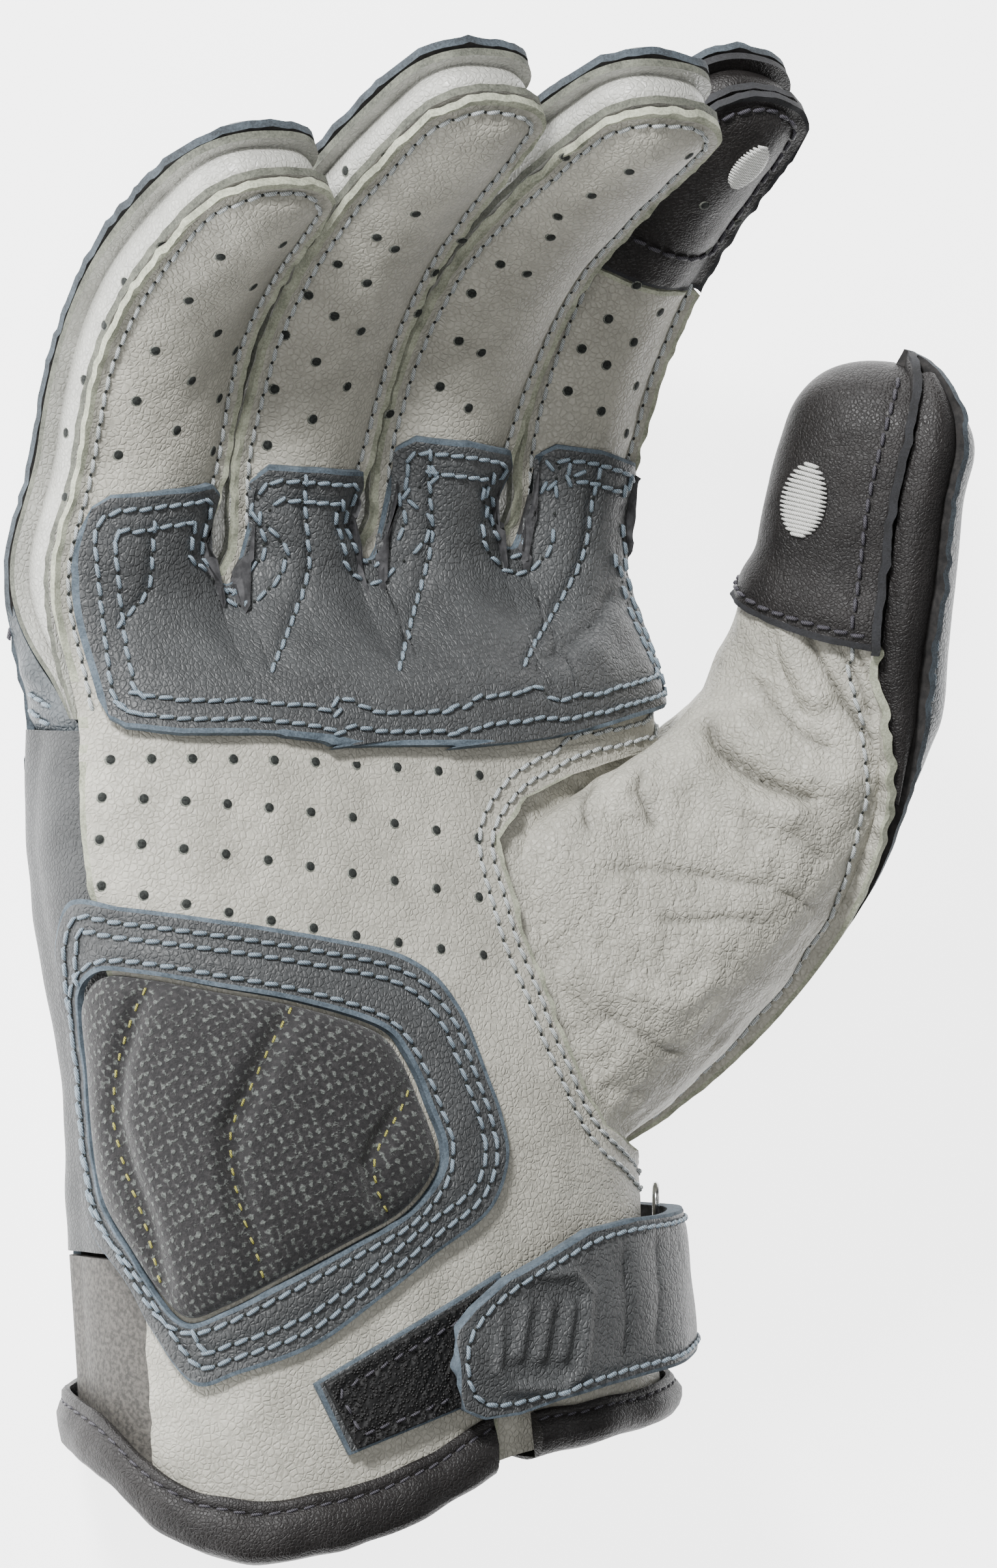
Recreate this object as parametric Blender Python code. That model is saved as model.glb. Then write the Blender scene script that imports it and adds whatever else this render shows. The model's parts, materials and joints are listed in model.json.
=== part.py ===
# Right-hand leather motorcycle glove, lying on its back with the palm up.
# Metres. +X towards the thumb, +Y towards the fingertips, +Z out of the palm.
# Every sheet is a pattern piece worked out flat, then bent along the palm or a finger.

import math

import bmesh
import bpy
import numpy as np

# Driving sizes of the whole glove, in metres.
PALM_WIDTH = 0.108        # across the knuckles, outside
PALM_LENGTH = 0.150       # lowest cuff edge to the middle finger root
WRIST_DEPTH = 0.056       # palm side to back side at the wrist
FINGER_LENGTH = 0.092     # middle finger, root to tip of the seam edge
FINGER_WIDTH = 0.0245     # across a finger panel with its seam edges
FINGER_BAND = 0.0136      # height of the side band at a finger root
FINGER_CROWN = 0.0034     # swell of a finger panel above its seams
SEAM_EDGE = 0.0024        # seam edge standing past the side band
CROTCH_GAP = 0.0046       # open channel between two finger roots
WALL = 0.0012             # leather
GAP = 0.0004              # clearance between neighbouring pieces
FLATTEN = 0.0012          # the back is pressed flat by this much where it lies on the floor
CUFF_LIFT = 0.0034        # the thick cuff edging holds the back of the wrist this high
SQUARE = 0.03             # how square the palm section is

# Palm sections: along and centre are shares of length and width; width, depth shares.
SECTIONS = (
    # along, centre, width, depth
    (-0.06, 0.035, 0.865, 0.97),
    (0.06, 0.035, 0.865, 0.97),
    (0.18, 0.02, 0.850, 0.97),
    (0.31, 0.000, 0.835, 0.97),
    (0.50, 0.00, 0.865, 0.93),
    (0.60, 0.005, 0.935, 0.88),
    (0.70, 0.015, 0.985, 0.82),
    (0.85, 0.022, 0.965, 0.72),
    (1.00, 0.02, 0.955, 0.65),
    (1.15, 0.02, 0.955, 0.62),
)

# Fingers. Roots across are shares of the palm width, along of its length.
FINGERS = {
    "little": dict(across=-0.326, along=0.965, length=0.83, width=1.02, splay=-2.0, roll=0.0,
                   flex=(8, 32, 22), at=(-0.05, 0.33, 0.62)),
    "ring": dict(across=-0.105, along=0.985, length=0.985, width=0.96, splay=2.0, roll=0.0,
                 flex=(13, 32, 16), at=(-0.05, 0.33, 0.62)),
    "middle": dict(across=0.122, along=1.005, length=1.0, width=0.98, splay=5.0, roll=0.0,
                   flex=(14, 37, 15), at=(-0.05, 0.33, 0.62)),
    "index": dict(across=0.345, along=1.008, length=0.885, width=0.92, splay=8.0, roll=4.0,
                  flex=(7, 28, 16), at=(-0.05, 0.33, 0.62)),
}
NAMES = ("little", "ring", "middle", "index")
# where the panels part: ulnar edge, three crotches, thumb edge
CROTCH_ACROSS = (-0.475, -0.218, 0.005, 0.239, 0.455)
CROTCH_ALONG = (1.02, 0.963, 0.997, 1.010, 1.01)
ROOT_HEIGHT = 0.0185      # middle of a finger's thickness at its root


def ease(t):
    t = np.clip(t, 0.0, 1.0)
    return t * t * (3.0 - 2.0 * t)


def curve(knots, values, t):
    """Smooth curve through the knots: cubic pieces with finite difference slopes."""
    x = np.asarray(knots, float)
    y = np.asarray(values, float)
    slope = np.gradient(y, x)
    t = np.clip(np.asarray(t, float), x[0], x[-1])
    k = np.clip(np.searchsorted(x, t, side="right") - 1, 0, len(x) - 2)
    h = x[k + 1] - x[k]
    f = (t - x[k]) / h
    return ((2 * f ** 3 - 3 * f ** 2 + 1) * y[k] + (f ** 3 - 2 * f ** 2 + f) * h * slope[k]
            + (-2 * f ** 3 + 3 * f ** 2) * y[k + 1] + (f ** 3 - f ** 2) * h * slope[k + 1])


def section(b):
    """Centre across, half width, half depth and centre height of the palm at level b."""
    t = np.asarray(b, float) / PALM_LENGTH
    columns = list(zip(*SECTIONS))
    centre = curve(columns[0], columns[1], t) * PALM_WIDTH
    half = curve(columns[0], columns[2], t) * PALM_WIDTH / 2
    depth = curve(columns[0], columns[3], t) * WRIST_DEPTH / 2
    return centre, half, depth, depth * 1.0


def unit_section(tau):
    """Rounded box section of unit half sizes at angle tau (0 thumb side, 90 deg palm side)."""
    c = (np.cos(tau) - SQUARE * np.cos(3 * tau)) / (1 - SQUARE)
    s = (np.sin(tau) + SQUARE * np.sin(3 * tau)) / (1 - SQUARE)
    return c, s


_TAU = np.linspace(0.0, math.pi, 721)
_CROSS = unit_section(_TAU)[0][::-1]
_ANGLE = _TAU[::-1]


def tau_at(x, b):
    """Angle on the palm side of the section whose across position is x."""
    centre, half, _, _ = section(b)
    return np.interp((x - centre) / half, _CROSS, _ANGLE)


def palm_base(tau, b):
    centre, half, depth, height = section(b)
    c, s = unit_section(tau)
    z = height + depth * s
    floor = FLATTEN + CUFF_LIFT * (1 - ease((np.asarray(b, float) / PALM_LENGTH - 0.21) / 0.17))
    z = np.where(s < 0, np.maximum(z, floor), z)
    return np.stack(np.broadcast_arrays(centre + half * c, b, z), -1)


def lifted(surface, u, v, h, du, dv):
    """Point of a surface moved along its normal by h."""
    u, v, h = np.broadcast_arrays(np.asarray(u, float), np.asarray(v, float), np.asarray(h, float))
    p = surface(u, v)
    a = surface(u + du, v) - surface(u - du, v)
    b = surface(u, v + dv) - surface(u, v - dv)
    n = np.cross(a, b)
    n /= np.maximum(np.linalg.norm(n, axis=-1, keepdims=True), 1e-12)
    return p + h[..., None] * n


def palm(tau, b, h=0.0):
    """Palm body: angle, level, height above the leather face."""
    return lifted(palm_base, tau, b, -np.asarray(h, float), 1e-3, 1e-4)


class Finger:
    """One finger laid flat (s along, w across, h up), then bent along its spine."""

    def __init__(self, name, row):
        self.name = name
        self.length = row["length"] * FINGER_LENGTH
        self.width = row["width"] * FINGER_WIDTH
        self.root = np.array([row["across"] * PALM_WIDTH, row["along"] * PALM_LENGTH, ROOT_HEIGHT])
        splay = math.radians(row["splay"])
        roll = math.radians(row["roll"])
        self.ahead = np.array([math.sin(splay), math.cos(splay), 0.0])
        up = np.array([math.sin(roll), 0.0, math.cos(roll)])
        up = up - self.ahead * float(up @ self.ahead)
        self.up = up / np.linalg.norm(up)
        self.side = np.cross(self.ahead, self.up)
        share = np.linspace(-0.7, 1.15, 500)
        phi = np.zeros_like(share)
        for at, bend, half in zip(row["at"], row["flex"], (0.22, 0.30, 0.24)):
            phi += math.radians(bend) * ease((share - at + half) / (2 * half))
        self.s = share * self.length
        self.phi = phi
        step = np.diff(self.s)
        mid = (phi[1:] + phi[:-1]) / 2
        self.cx = np.concatenate([[0.0], np.cumsum(np.cos(mid) * step)]) + self.s[0]
        self.cz = np.concatenate([[0.0], np.cumsum(np.sin(mid) * step)])

    def at(self, s, w, h):
        s, w, h = np.broadcast_arrays(np.asarray(s, float), np.asarray(w, float), np.asarray(h, float))
        cx = np.where(s < self.s[0], s, np.interp(s, self.s, self.cx))
        cz = np.interp(s, self.s, self.cz)
        phi = np.interp(s, self.s, self.phi)
        along = cx - np.sin(phi) * h
        up = cz + np.cos(phi) * h
        return (self.root + along[..., None] * self.ahead + up[..., None] * self.up
                + w[..., None] * self.side)

    def half(self, s):
        t = np.clip(s / self.length, 0, 1)
        return self.width / 2 * (1.0 + 0.03 * np.sin(math.pi * t) - 0.13 * t ** 2)

    def band(self, s):
        t = np.clip(s / self.length, 0, 1)
        return FINGER_BAND / 2 * (1.0 - 0.24 * t ** 2)


HAND = {name: Finger(name, FINGERS[name]) for name in NAMES}


NAMES = ("little", "ring", "middle", "index")
COLUMN = (-1.0, -0.74, 0.0, 0.74, 1.0)   # stations across one finger panel
CHANNEL_LENGTH = 0.0032    # rounded bottom of the channel between two fingers
ULNAR = 162.0              # palm panel edge on the little finger side, degrees round the section
RADIAL = 3.0               # palm panel edge on the index side
BACK_ULNAR = 204.0         # back panel edge on the little finger side
BLEND = 0.026              # length over which the palm turns into a finger


def table(rows, *names):
    """Columns of a table of rows."""
    return [np.array([row[n] for row in rows], float) for n in range(len(names))]


def knuckle_share(u):
    """Share across the palm face for strip position u (0 ulnar edge .. 4 index edge)."""
    edge = math.radians(ULNAR)
    left = unit_section(np.array(edge))[0]
    right = unit_section(np.array(math.radians(RADIAL)))[0]
    centre, half, _, _ = section(PALM_LENGTH)
    inner = [(x * PALM_WIDTH - centre) / half for x in CROTCH_ACROSS[1:4]]
    cross = np.interp(u, [0, 1, 2, 3, 4], [left] + inner + [right])
    tau = np.interp(cross, _CROSS, _ANGLE)
    return (edge - tau) / (edge - math.radians(RADIAL))


# Thumb edge of the palm panel: along (share of palm length) and angle round the section.
PALM_EDGE = (
    # along, angle
    (-0.10, -8.0), (0.374, -8.0), (0.379, 1.0), (0.383, 10.0), (0.387, 19.0), (0.392, 28.0),
    (0.400, 38.0), (0.427, 54.0), (0.463, 61.0), (0.533, 69.0), (0.617, 76.0), (0.703, 80.0),
    (0.743, 74.0), (0.765, 64.0), (0.777, 54.0), (0.785, 44.0), (0.789, 34.0), (0.793, 24.0),
    (0.799, 13.0), (0.808, 5.0), (0.818, 3.0), (1.5, 3.0),
)
# Thumb edge of the back panel.
BACK_EDGE = (
    (-0.10, 350.6), (0.380, 350.6), (0.393, 343.0), (0.42, 330.0), (0.50, 308.0), (0.60, 298.0),
    (0.70, 300.0), (0.77, 318.0), (0.787, 331.0), (0.80, 342.0), (0.815, 350.0), (0.86, 352.0), (0.93, 349.0),
    (0.98, 343.0), (1.02, 338.0), (1.5, 338.0),
)


def front_tau(u, b):
    along, angle = table(PALM_EDGE, "along", "angle")
    right = np.radians(np.interp(b / PALM_LENGTH, along, angle))
    left = math.radians(ULNAR)
    return left + (right - left) * knuckle_share(u)


def back_tau(u, b):
    along, angle = table(BACK_EDGE, "along", "angle")
    right = np.radians(np.interp(b / PALM_LENGTH, along, angle))
    left = math.radians(BACK_ULNAR)
    k = knuckle_share(u)
    return left + (right - left) * k


def crotch_level(u):
    return np.interp(u, [0, 1, 2, 3, 4], CROTCH_ALONG) * PALM_LENGTH


def tip_reach(finger, q):
    """How far along the finger its rounded tip reaches at share q across."""
    r = finger.half(finger.length) * 1.05
    return finger.length - r * (1 - (1 - np.abs(q) ** 2.5) ** 0.4)


def strip_width(i, finger, q, s):
    """Across position at share q, narrowed to the channels beside the root."""
    out = ease(s / 0.017)
    half = finger.half(s)
    edge = []
    for k, sign in ((i, -1), (i + 1, 1)):
        root = CROTCH_ACROSS[k] * PALM_WIDTH - finger.root[0] - s * finger.ahead[0]
        if 0 < k < 4:
            start = CROTCH_ALONG[k] * PALM_LENGTH - finger.root[1]
            open_ = CROTCH_GAP / 2 * np.sqrt(np.clip((s - start) / CHANNEL_LENGTH, 0, 1))
            root = root - sign * open_
        edge.append(root * (1 - out) + sign * half * out)
    return edge[0] + (q + 1) / 2 * (edge[1] - edge[0]), (edge[1] - edge[0]) / 2


def finger_sheet(i, q, s, face):
    """Front (face 1) or back (face -1) panel of finger i, with flat seam edges."""
    finger = HAND[NAMES[i]]
    w, half = strip_width(i, finger, q, s)
    side = np.clip((half * (1 - np.abs(q)) - SEAM_EDGE) / (half - SEAM_EDGE), 0, 1)
    end = np.clip((tip_reach(finger, q) - s - SEAM_EDGE) / (half * 0.9), 0, 1)
    swell = FINGER_CROWN * (1 - (1 - side) ** 2) * np.sqrt(1 - (1 - end) ** 2)
    if face < 0:
        swell = swell * 1.25
    return finger.at(s, w, face * (finger.band(s) + swell))


def strip_raw(i, q, b, face):
    finger = HAND[NAMES[i]]
    s = b - finger.root[1]
    m = ease((s + BLEND) / BLEND)[..., None]
    u = i + (q + 1) / 2
    tau = front_tau(u, b) if face > 0 else back_tau(u, b)
    return palm_base(tau, b) * (1 - m) + finger_sheet(i, q, s, face) * m


def strip_surface(i, q, b, face):
    """Panel surface of strip i, met with its neighbours up to the finger roots."""
    q, b = np.broadcast_arrays(np.asarray(q, float), np.asarray(b, float))
    p = strip_raw(i, q, b, face)
    for k, sign in ((i, -1.0), (i + 1, 1.0)):
        if not 0 < k < 4:
            continue
        other = k - 1 if sign < 0 else k
        level = CROTCH_ALONG[k] * PALM_LENGTH
        hold = 1 - ease((b - level) / 0.008)
        bb = np.minimum(b, level)
        mine = strip_raw(i, sign + 0 * b, bb, face)
        theirs = strip_raw(other, -sign + 0 * b, bb, face)
        near = np.clip((q * sign + 0.4) / 1.4, 0, 1) ** 2
        p = p + (theirs - mine) * (0.5 * near * hold)[..., None]
    return p


def sheet(u, b, face, h=0.0, strip=None):
    """Front or back panel point at strip position u and level b, lifted by h."""
    u, b, h = np.broadcast_arrays(np.asarray(u, float), np.asarray(b, float), np.asarray(h, float))
    index = np.clip(np.floor(u), 0, 3).astype(int) if strip is None else np.full(u.shape, strip)
    out = np.zeros(u.shape + (3,))
    for i in range(4):
        mask = index == i
        if not mask.any():
            continue
        q = 2 * (u[mask] - i) - 1
        bb = b[mask]
        p = strip_surface(i, q, bb, face)
        e = 0.02
        dq = strip_surface(i, np.minimum(q + e, 1), bb, face) - strip_surface(i, np.maximum(q - e, -1), bb, face)
        db = strip_surface(i, q, bb + 2e-4, face) - strip_surface(i, q, bb - 2e-4, face)
        n = np.cross(dq, db) * face
        n /= np.maximum(np.linalg.norm(n, axis=-1, keepdims=True), 1e-12)
        out[mask] = p + h[mask][..., None] * n
    return out


def thicken(points, faces, wall):
    """Closed solid: the sheet, its copy one wall below, and a rim along every open edge."""
    points = np.asarray(points, float).reshape(-1, 3)
    normal = np.zeros_like(points)
    for face in faces:
        p = points[list(face)]
        n = np.zeros(3)
        for k in range(1, len(face) - 1):
            n += np.cross(p[k] - p[0], p[k + 1] - p[0])
        for k in face:
            normal[k] += n / max(np.linalg.norm(n), 1e-15)
    normal /= np.maximum(np.linalg.norm(normal, axis=1, keepdims=True), 1e-12)
    wall = np.broadcast_to(np.asarray(wall, float), (len(points),))
    count = len(points)
    verts = np.concatenate([points, points - normal * wall[:, None]])
    out = [tuple(f) for f in faces]
    edges = {}
    for f in faces:
        for a, b in zip(f, f[1:] + f[:1]):
            edges[(a, b)] = True
    out += [tuple(k + count for k in reversed(f)) for f in faces]
    for a, b in edges:
        if (b, a) not in edges:
            out.append((b, a, a + count, b + count))
    return verts, out


def grid_faces(rows, columns, closed=False, start=0):
    faces = []
    span = columns if closed else columns - 1
    for r in range(rows - 1):
        for c in range(span):
            d = (c + 1) % columns
            faces.append((start + r * columns + c, start + r * columns + d,
                          start + (r + 1) * columns + d, start + (r + 1) * columns + c))
    return faces


def prism(loops):
    """Closed solid from equal closed loops swept along a path, capped at both ends."""
    loops = np.asarray(loops, float)
    rows, columns = loops.shape[:2]
    faces = grid_faces(rows, columns, closed=True)
    faces.append(tuple(reversed(range(columns))))
    faces.append(tuple((rows - 1) * columns + c for c in range(columns)))
    return loops.reshape(-1, 3), faces


PALM_ROWS = (0.268, 0.32, 0.374, 0.379, 0.383, 0.387, 0.392, 0.400, 0.427, 0.463, 0.533, 0.617, 0.703,
             0.743, 0.765, 0.777, 0.785, 0.789, 0.793, 0.799, 0.808, 0.818, 0.86, 0.91, 0.955, 1.0)
BACK_ROWS = (0.17, 0.27, 0.33, 0.380, 0.393, 0.42, 0.50, 0.60, 0.70, 0.77, 0.787, 0.80, 0.815, 0.86, 0.91,
             0.955, 1.0)
FINGER_ROWS = (0.03, 0.11, 0.23, 0.38, 0.55, 0.69, 0.82, 0.93, 1.0)
CAP_START = 0.60          # index cap: share of the finger


def strip_columns():
    return np.array([i + (q + 1) / 2 for i in range(4) for q in COLUMN[:-1]] + [4.0])


def cuff_edge(tau):
    """Level of the cuff edge round the wrist, lowest under the heel of the hand."""
    deg = np.degrees(tau) % 360.0
    knots = (0, 45, 70, 89, 104, 118, 135, 155, 177, 205, 270, 330, 360)
    share = (0.160, 0.143, 0.127, 0.105, 0.063, 0.040, 0.030, 0.050, 0.105, 0.13, 0.14, 0.155, 0.160)
    return np.interp(deg, knots, share) * PALM_LENGTH


def tip_row(finger, base, reach, v):
    """Level of panel row v: straight across the finger, following the tip only near its end."""
    shoulder = finger.root[1] + tip_reach(finger, 1.0)
    return base + (shoulder - base) * v + (reach - shoulder) * v ** 5


def panel(face, rows, finger_rows, cut=None):
    """One sheet for the palm (or back) with four finger strips, as points and faces."""
    u = strip_columns()
    top = PALM_LENGTH
    n = len(u)
    pts = []
    for row in rows:
        b = np.full(n, row * PALM_LENGTH)
        b = b + (crotch_level(u) - top) * ease((row - 0.78) / 0.22)
        pts.append(np.stack([u, b], -1))
    pts = np.array(pts)
    out = [sheet(pts[..., 0], pts[..., 1], face).reshape(-1, 3)]
    faces = grid_faces(len(rows), n)
    count = len(rows) * n
    last = (len(rows) - 1) * n
    per = len(COLUMN)
    for i in range(4):
        q = np.array(COLUMN)
        finger = HAND[NAMES[i]]
        uu = i + (q + 1) / 2
        base = crotch_level(uu)
        reach = finger.root[1] + tip_reach(finger, q)
        stop = finger_rows if cut is None or i != 3 else [v for v in finger_rows if v <= cut + 1e-9]
        block = []
        for v in stop:
            b = tip_row(finger, base, reach, v)
            block.append(sheet(uu, b, face, strip=i))
        block = np.array(block)
        out.append(block.reshape(-1, 3))
        first = [last + i * (per - 1) + c for c in range(per)]
        for c in range(per - 1):
            faces.append((first[c], first[c + 1], count + c + 1, count + c))
        faces += grid_faces(len(stop), per, start=count)
        count += len(stop) * per
    return np.concatenate(out), faces


def palm_panel():
    along = np.array(PALM_ROWS)
    pts, faces = panel(1, along, FINGER_ROWS, cut=CAP_START)
    # the wrist part below: only the little finger side of the slit, down to the cuff edge
    u = strip_columns()
    u = u[:slit_column() + 1]
    n = len(u)
    low = []
    for k in (1.0, 0.66, 0.33):
        tau = front_tau(u, np.full(n, 0.0))
        edge = cuff_edge(tau)
        b = 0.268 * PALM_LENGTH + (edge - 0.268 * PALM_LENGTH) * k
        low.append(palm(tau, b))
    low = np.array(low).reshape(-1, 3)
    shift = len(low)
    faces = [tuple(k + shift for k in f) for f in faces]
    faces += grid_faces(3, n)
    faces += [(2 * n + c, 2 * n + c + 1, shift + c + 1, shift + c) for c in range(n - 1)]
    return thicken(np.concatenate([low, pts]), faces, WALL)


def slit_column():
    """Column of the palm panel along which the wrist is slit."""
    u = strip_columns()
    tau = np.degrees(front_tau(u, np.full(len(u), 0.0)))
    return int(np.argmin(np.abs(tau - 88.0)))


def slit_angle():
    u = strip_columns()[slit_column()]
    return float(np.degrees(front_tau(np.array(u), np.array(0.0))))


def back_panel():
    rows = BACK_ROWS
    pts, faces = panel(-1, rows, FINGER_ROWS)
    u = strip_columns()
    n = len(u)
    tau = back_tau(u, np.full(n, 0.0))
    low = palm(tau, cuff_edge(tau))
    faces = [tuple(k + n for k in f) for f in faces]
    faces += [(c, c + 1, n + c + 1, n + c) for c in range(n - 1)]
    faces = [tuple(reversed(f)) for f in faces]
    return thicken(np.concatenate([low, pts]), faces, WALL)


def index_tip_cap():
    q = np.array(COLUMN)
    finger = HAND["index"]
    uu = 3 + (q + 1) / 2
    base = crotch_level(uu)
    reach = finger.root[1] + tip_reach(finger, q)
    rows = [CAP_START + 0.006] + [v for v in FINGER_ROWS if v > CAP_START + 0.01]
    block = np.array([sheet(uu, tip_row(finger, base, reach, v), 1, strip=3) for v in rows])
    return thicken(block.reshape(-1, 3), grid_faces(len(rows), len(q)), WALL)


# Side band on the free edges: how far it runs down the palm, and its back seam there.
BAND_SEAM = (
    # along, little finger side angle, index side angle
    (0.80, 164.0, 354.0), (0.86, 169.0, 352.0), (0.93, 177.0, 349.0), (0.98, 190.0, 343.0),
    (1.02, 204.0, 338.0), (1.20, 204.0, 338.0),
)


def free_edge(i, b, face):
    """Seam of the little finger's or index finger's outer edge, running on into the palm."""
    q = -1.0 if i == 0 else 1.0
    finger = HAND[NAMES[i]]
    s = b - finger.root[1]
    m = ease((s + BLEND) / BLEND)[..., None]
    along, little, index = table(BAND_SEAM, "along", "little", "index")
    if face > 0:
        tau = front_tau(np.full_like(b, 0.0 if i == 0 else 4.0), b)
    else:
        tau = np.radians(np.interp(b / PALM_LENGTH, along, little if i == 0 else index))
    return palm_base(tau, b) * (1 - m) + finger_sheet(i, q + 0 * b, s, face) * m


def band_path(i):
    """Both seam lines of one finger, from its little finger side round the tip to the other."""
    finger = HAND[NAMES[i]]
    length = finger.length
    bend = length - finger.half(length) * 1.05
    lines = []
    for face in (1, -1):
        parts, shares = [], []
        for side in (-1, 1):
            k = i if side < 0 else i + 1
            if 0 < k < 4:
                start = CROTCH_ALONG[k] * PALM_LENGTH - finger.root[1]
                s = start + np.array([0.00004, 0.0004, 0.0014, 0.0032])
                more = np.linspace(s[-1], bend, 8)[1:]
                s = np.concatenate([s, more])
                level = CROTCH_ALONG[k] * PALM_LENGTH
                p = strip_surface(i, side + 0 * s, s + finger.root[1], face)
            else:
                low = np.array([0.818 if i == 0 else 0.835, 0.86, 0.91, 0.955, 1.0]) * PALM_LENGTH
                s = np.concatenate([low - finger.root[1], np.linspace(0.009, bend, 7)])
                p = free_edge(i, s + finger.root[1], face)
            parts.append(p)
            shares.append(s / length)
        q = np.array([-0.97, -0.85, -0.55, 0.0, 0.55, 0.85, 0.97])
        tip = finger_sheet(i, q, tip_reach(finger, q), face)
        lines.append(np.concatenate([parts[0], tip, parts[1][::-1]]))
        share = np.concatenate([shares[0], np.ones(len(q)), shares[1][::-1]])
    return lines[0], lines[1], share


def band(i, first=-1.0, last=2.0, half=0):
    """Channel-shaped side band: two lips under the panels' seam edges, a web between them."""
    front, back, share = band_path(i)
    run = back - front
    depth = np.linalg.norm(run, axis=1, keepdims=True)
    down = run / depth
    tangent = np.gradient(front + back, axis=0)
    out = np.cross(tangent, down)
    out /= np.linalg.norm(out, axis=1, keepdims=True)
    tip = int(np.argmax(share)) + 3
    spine = HAND[NAMES[i]].at(HAND[NAMES[i]].length * 0.7, 0.0, 0.0)
    if float(out[tip] @ (front[tip] - spine)) < 0:
        out = -out
    t = np.minimum(WALL, 0.17 * depth)
    c = np.minimum(WALL + GAP, 0.25 * depth)
    fl = SEAM_EDGE
    mid = (front + back) / 2
    swell = 0.0009
    loops = np.stack([
        front + down * c - out * 0.0001,
        front + down * (c + t) - out * 0.0001,
        front + down * (c + t) - out * fl,
        mid - out * (fl - swell),
        back - down * (c + t) - out * fl,
        back - down * (c + t) - out * 0.0001,
        back - down * c - out * 0.0001,
        back - down * c - out * (fl + t),
        mid - out * (fl + t - swell * 0.6),
        front + down * c - out * (fl + t),
    ], 1)
    keep = (share >= first) & (share <= last)
    order = np.arange(len(share))
    if half < 0:
        keep &= order < tip
    if half > 0:
        keep &= order > tip
    return prism(loops[keep])


# Thumb: spine stations from the ball of the thumb to the tip.
THUMB_SPINE = (
    # across, along, height (shares of palm width, palm length, palm width), width, depth (shares)
    (0.46, 0.52, 0.27, 1.50, 1.45),
    (0.590, 0.73, 0.40, 1.42, 1.36),
    (0.645, 0.85, 0.445, 1.25, 1.16),
    (0.642, 0.95, 0.50, 1.10, 1.00),
    (0.644, 1.05, 0.535, 1.04, 0.94),
    (0.670, 1.165, 0.575, 0.97, 0.86),
)
THUMB_WIDTH = 0.0275
THUMB_DEPTH = 0.0245
THUMB_PAD = (-0.80, 0.0, 0.60)     # direction the thumb pad faces
# Seam of the ball of the thumb on the palm body, once round the thumb.
THUMB_BASE = (
    # round the thumb, angle round the palm, along the palm
    (0.0, -8.0, 0.396), (25.0, 14.0, 0.386), (45.0, 38.0, 0.397), (65.0, 56.0, 0.436),
    (85.0, 67.5, 0.525), (100.0, 75.0, 0.610), (115.0, 79.5, 0.700), (130.0, 72.0, 0.750),
    (145.0, 56.0, 0.776), (162.0, 28.0, 0.793), (180.0, 1.0, 0.812), (205.0, -24.0, 0.796),
    (235.0, -50.0, 0.750), (265.0, -60.0, 0.650), (290.0, -60.0, 0.560), (315.0, -48.0, 0.470),
    (338.0, -28.0, 0.415), (360.0, -8.0, 0.396),
)
THUMB_JOIN = 0.40          # share along the spine where the ball has become the thumb
# Seams down the outer side of the thumb: along the piece, front seam, back seam, degrees.
THUMB_SEAMS = (
    (0.0, 14.0, 8.0), (0.25, 13.0, 6.0), (0.40, 29.0, 20.0), (0.50, 49.0, 25.0), (0.58, 58.0, 28.0),
    (0.72, 61.0, 26.0), (1.0, 62.0, 26.0),
)
THUMB_INNER = 212.0        # where front and back meet on the finger side


def thumb_spine(t):
    columns = table(THUMB_SPINE, "x", "y", "z", "w", "d")
    k = np.linspace(0, 1, len(THUMB_SPINE))
    p = np.stack([curve(k, columns[0] * PALM_WIDTH, t), curve(k, columns[1] * PALM_LENGTH, t),
                  curve(k, columns[2] * PALM_WIDTH, t)], -1)
    w = curve(k, columns[3], t) * THUMB_WIDTH / 2
    d = curve(k, columns[4], t) * THUMB_DEPTH / 2
    return p, w, d


def thumb_frame(t):
    ahead = thumb_spine(t + 0.01)[0] - thumb_spine(t - 0.01)[0]
    ahead /= np.linalg.norm(ahead, axis=-1, keepdims=True)
    pad = np.array(THUMB_PAD)
    pad = pad - ahead * (ahead @ pad)[..., None]
    pad /= np.linalg.norm(pad, axis=-1, keepdims=True)
    return ahead, pad, np.cross(ahead, pad)


def thumb_tube(psi, t):
    """Section of the free thumb: rounded, closed to a blunt dome at the tip."""
    p, w, d = thumb_spine(np.clip(t, 0, 1))
    ahead, pad, side = thumb_frame(np.clip(t, 0.02, 0.98))
    over = np.clip((t - 0.86) / 0.14, 0, 1)
    close = np.sqrt(np.maximum(1 - over ** 2.4, 0.0))
    c, s = unit_section(psi)
    return p + side * (w * close * c)[..., None] + pad * (d * close * s)[..., None]


THUMB_MIDDLE = (14.0, 0.60)   # middle of the opening: angle round the palm, share along


def thumb_root(psi, depth=0.0, size=0.93):
    """Point of the base seam, drawn in or out about the middle of the opening."""
    deg = np.degrees(psi)
    turn, angle, along = table(THUMB_BASE, "turn", "angle", "along")
    tau = curve(turn, angle, deg)
    level = curve(turn, along, deg)
    size = size - 0.004 - 0.028 * np.clip(-np.cos(psi), 0, 1) ** 2 - 0.022 * np.clip(np.cos(psi - 0.3), 0, 1)
    tau = np.radians(THUMB_MIDDLE[0] + (tau - THUMB_MIDDLE[0]) * size)
    b = (THUMB_MIDDLE[1] + (level - THUMB_MIDDLE[1]) * size) * PALM_LENGTH
    return palm(tau, b, depth)


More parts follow.
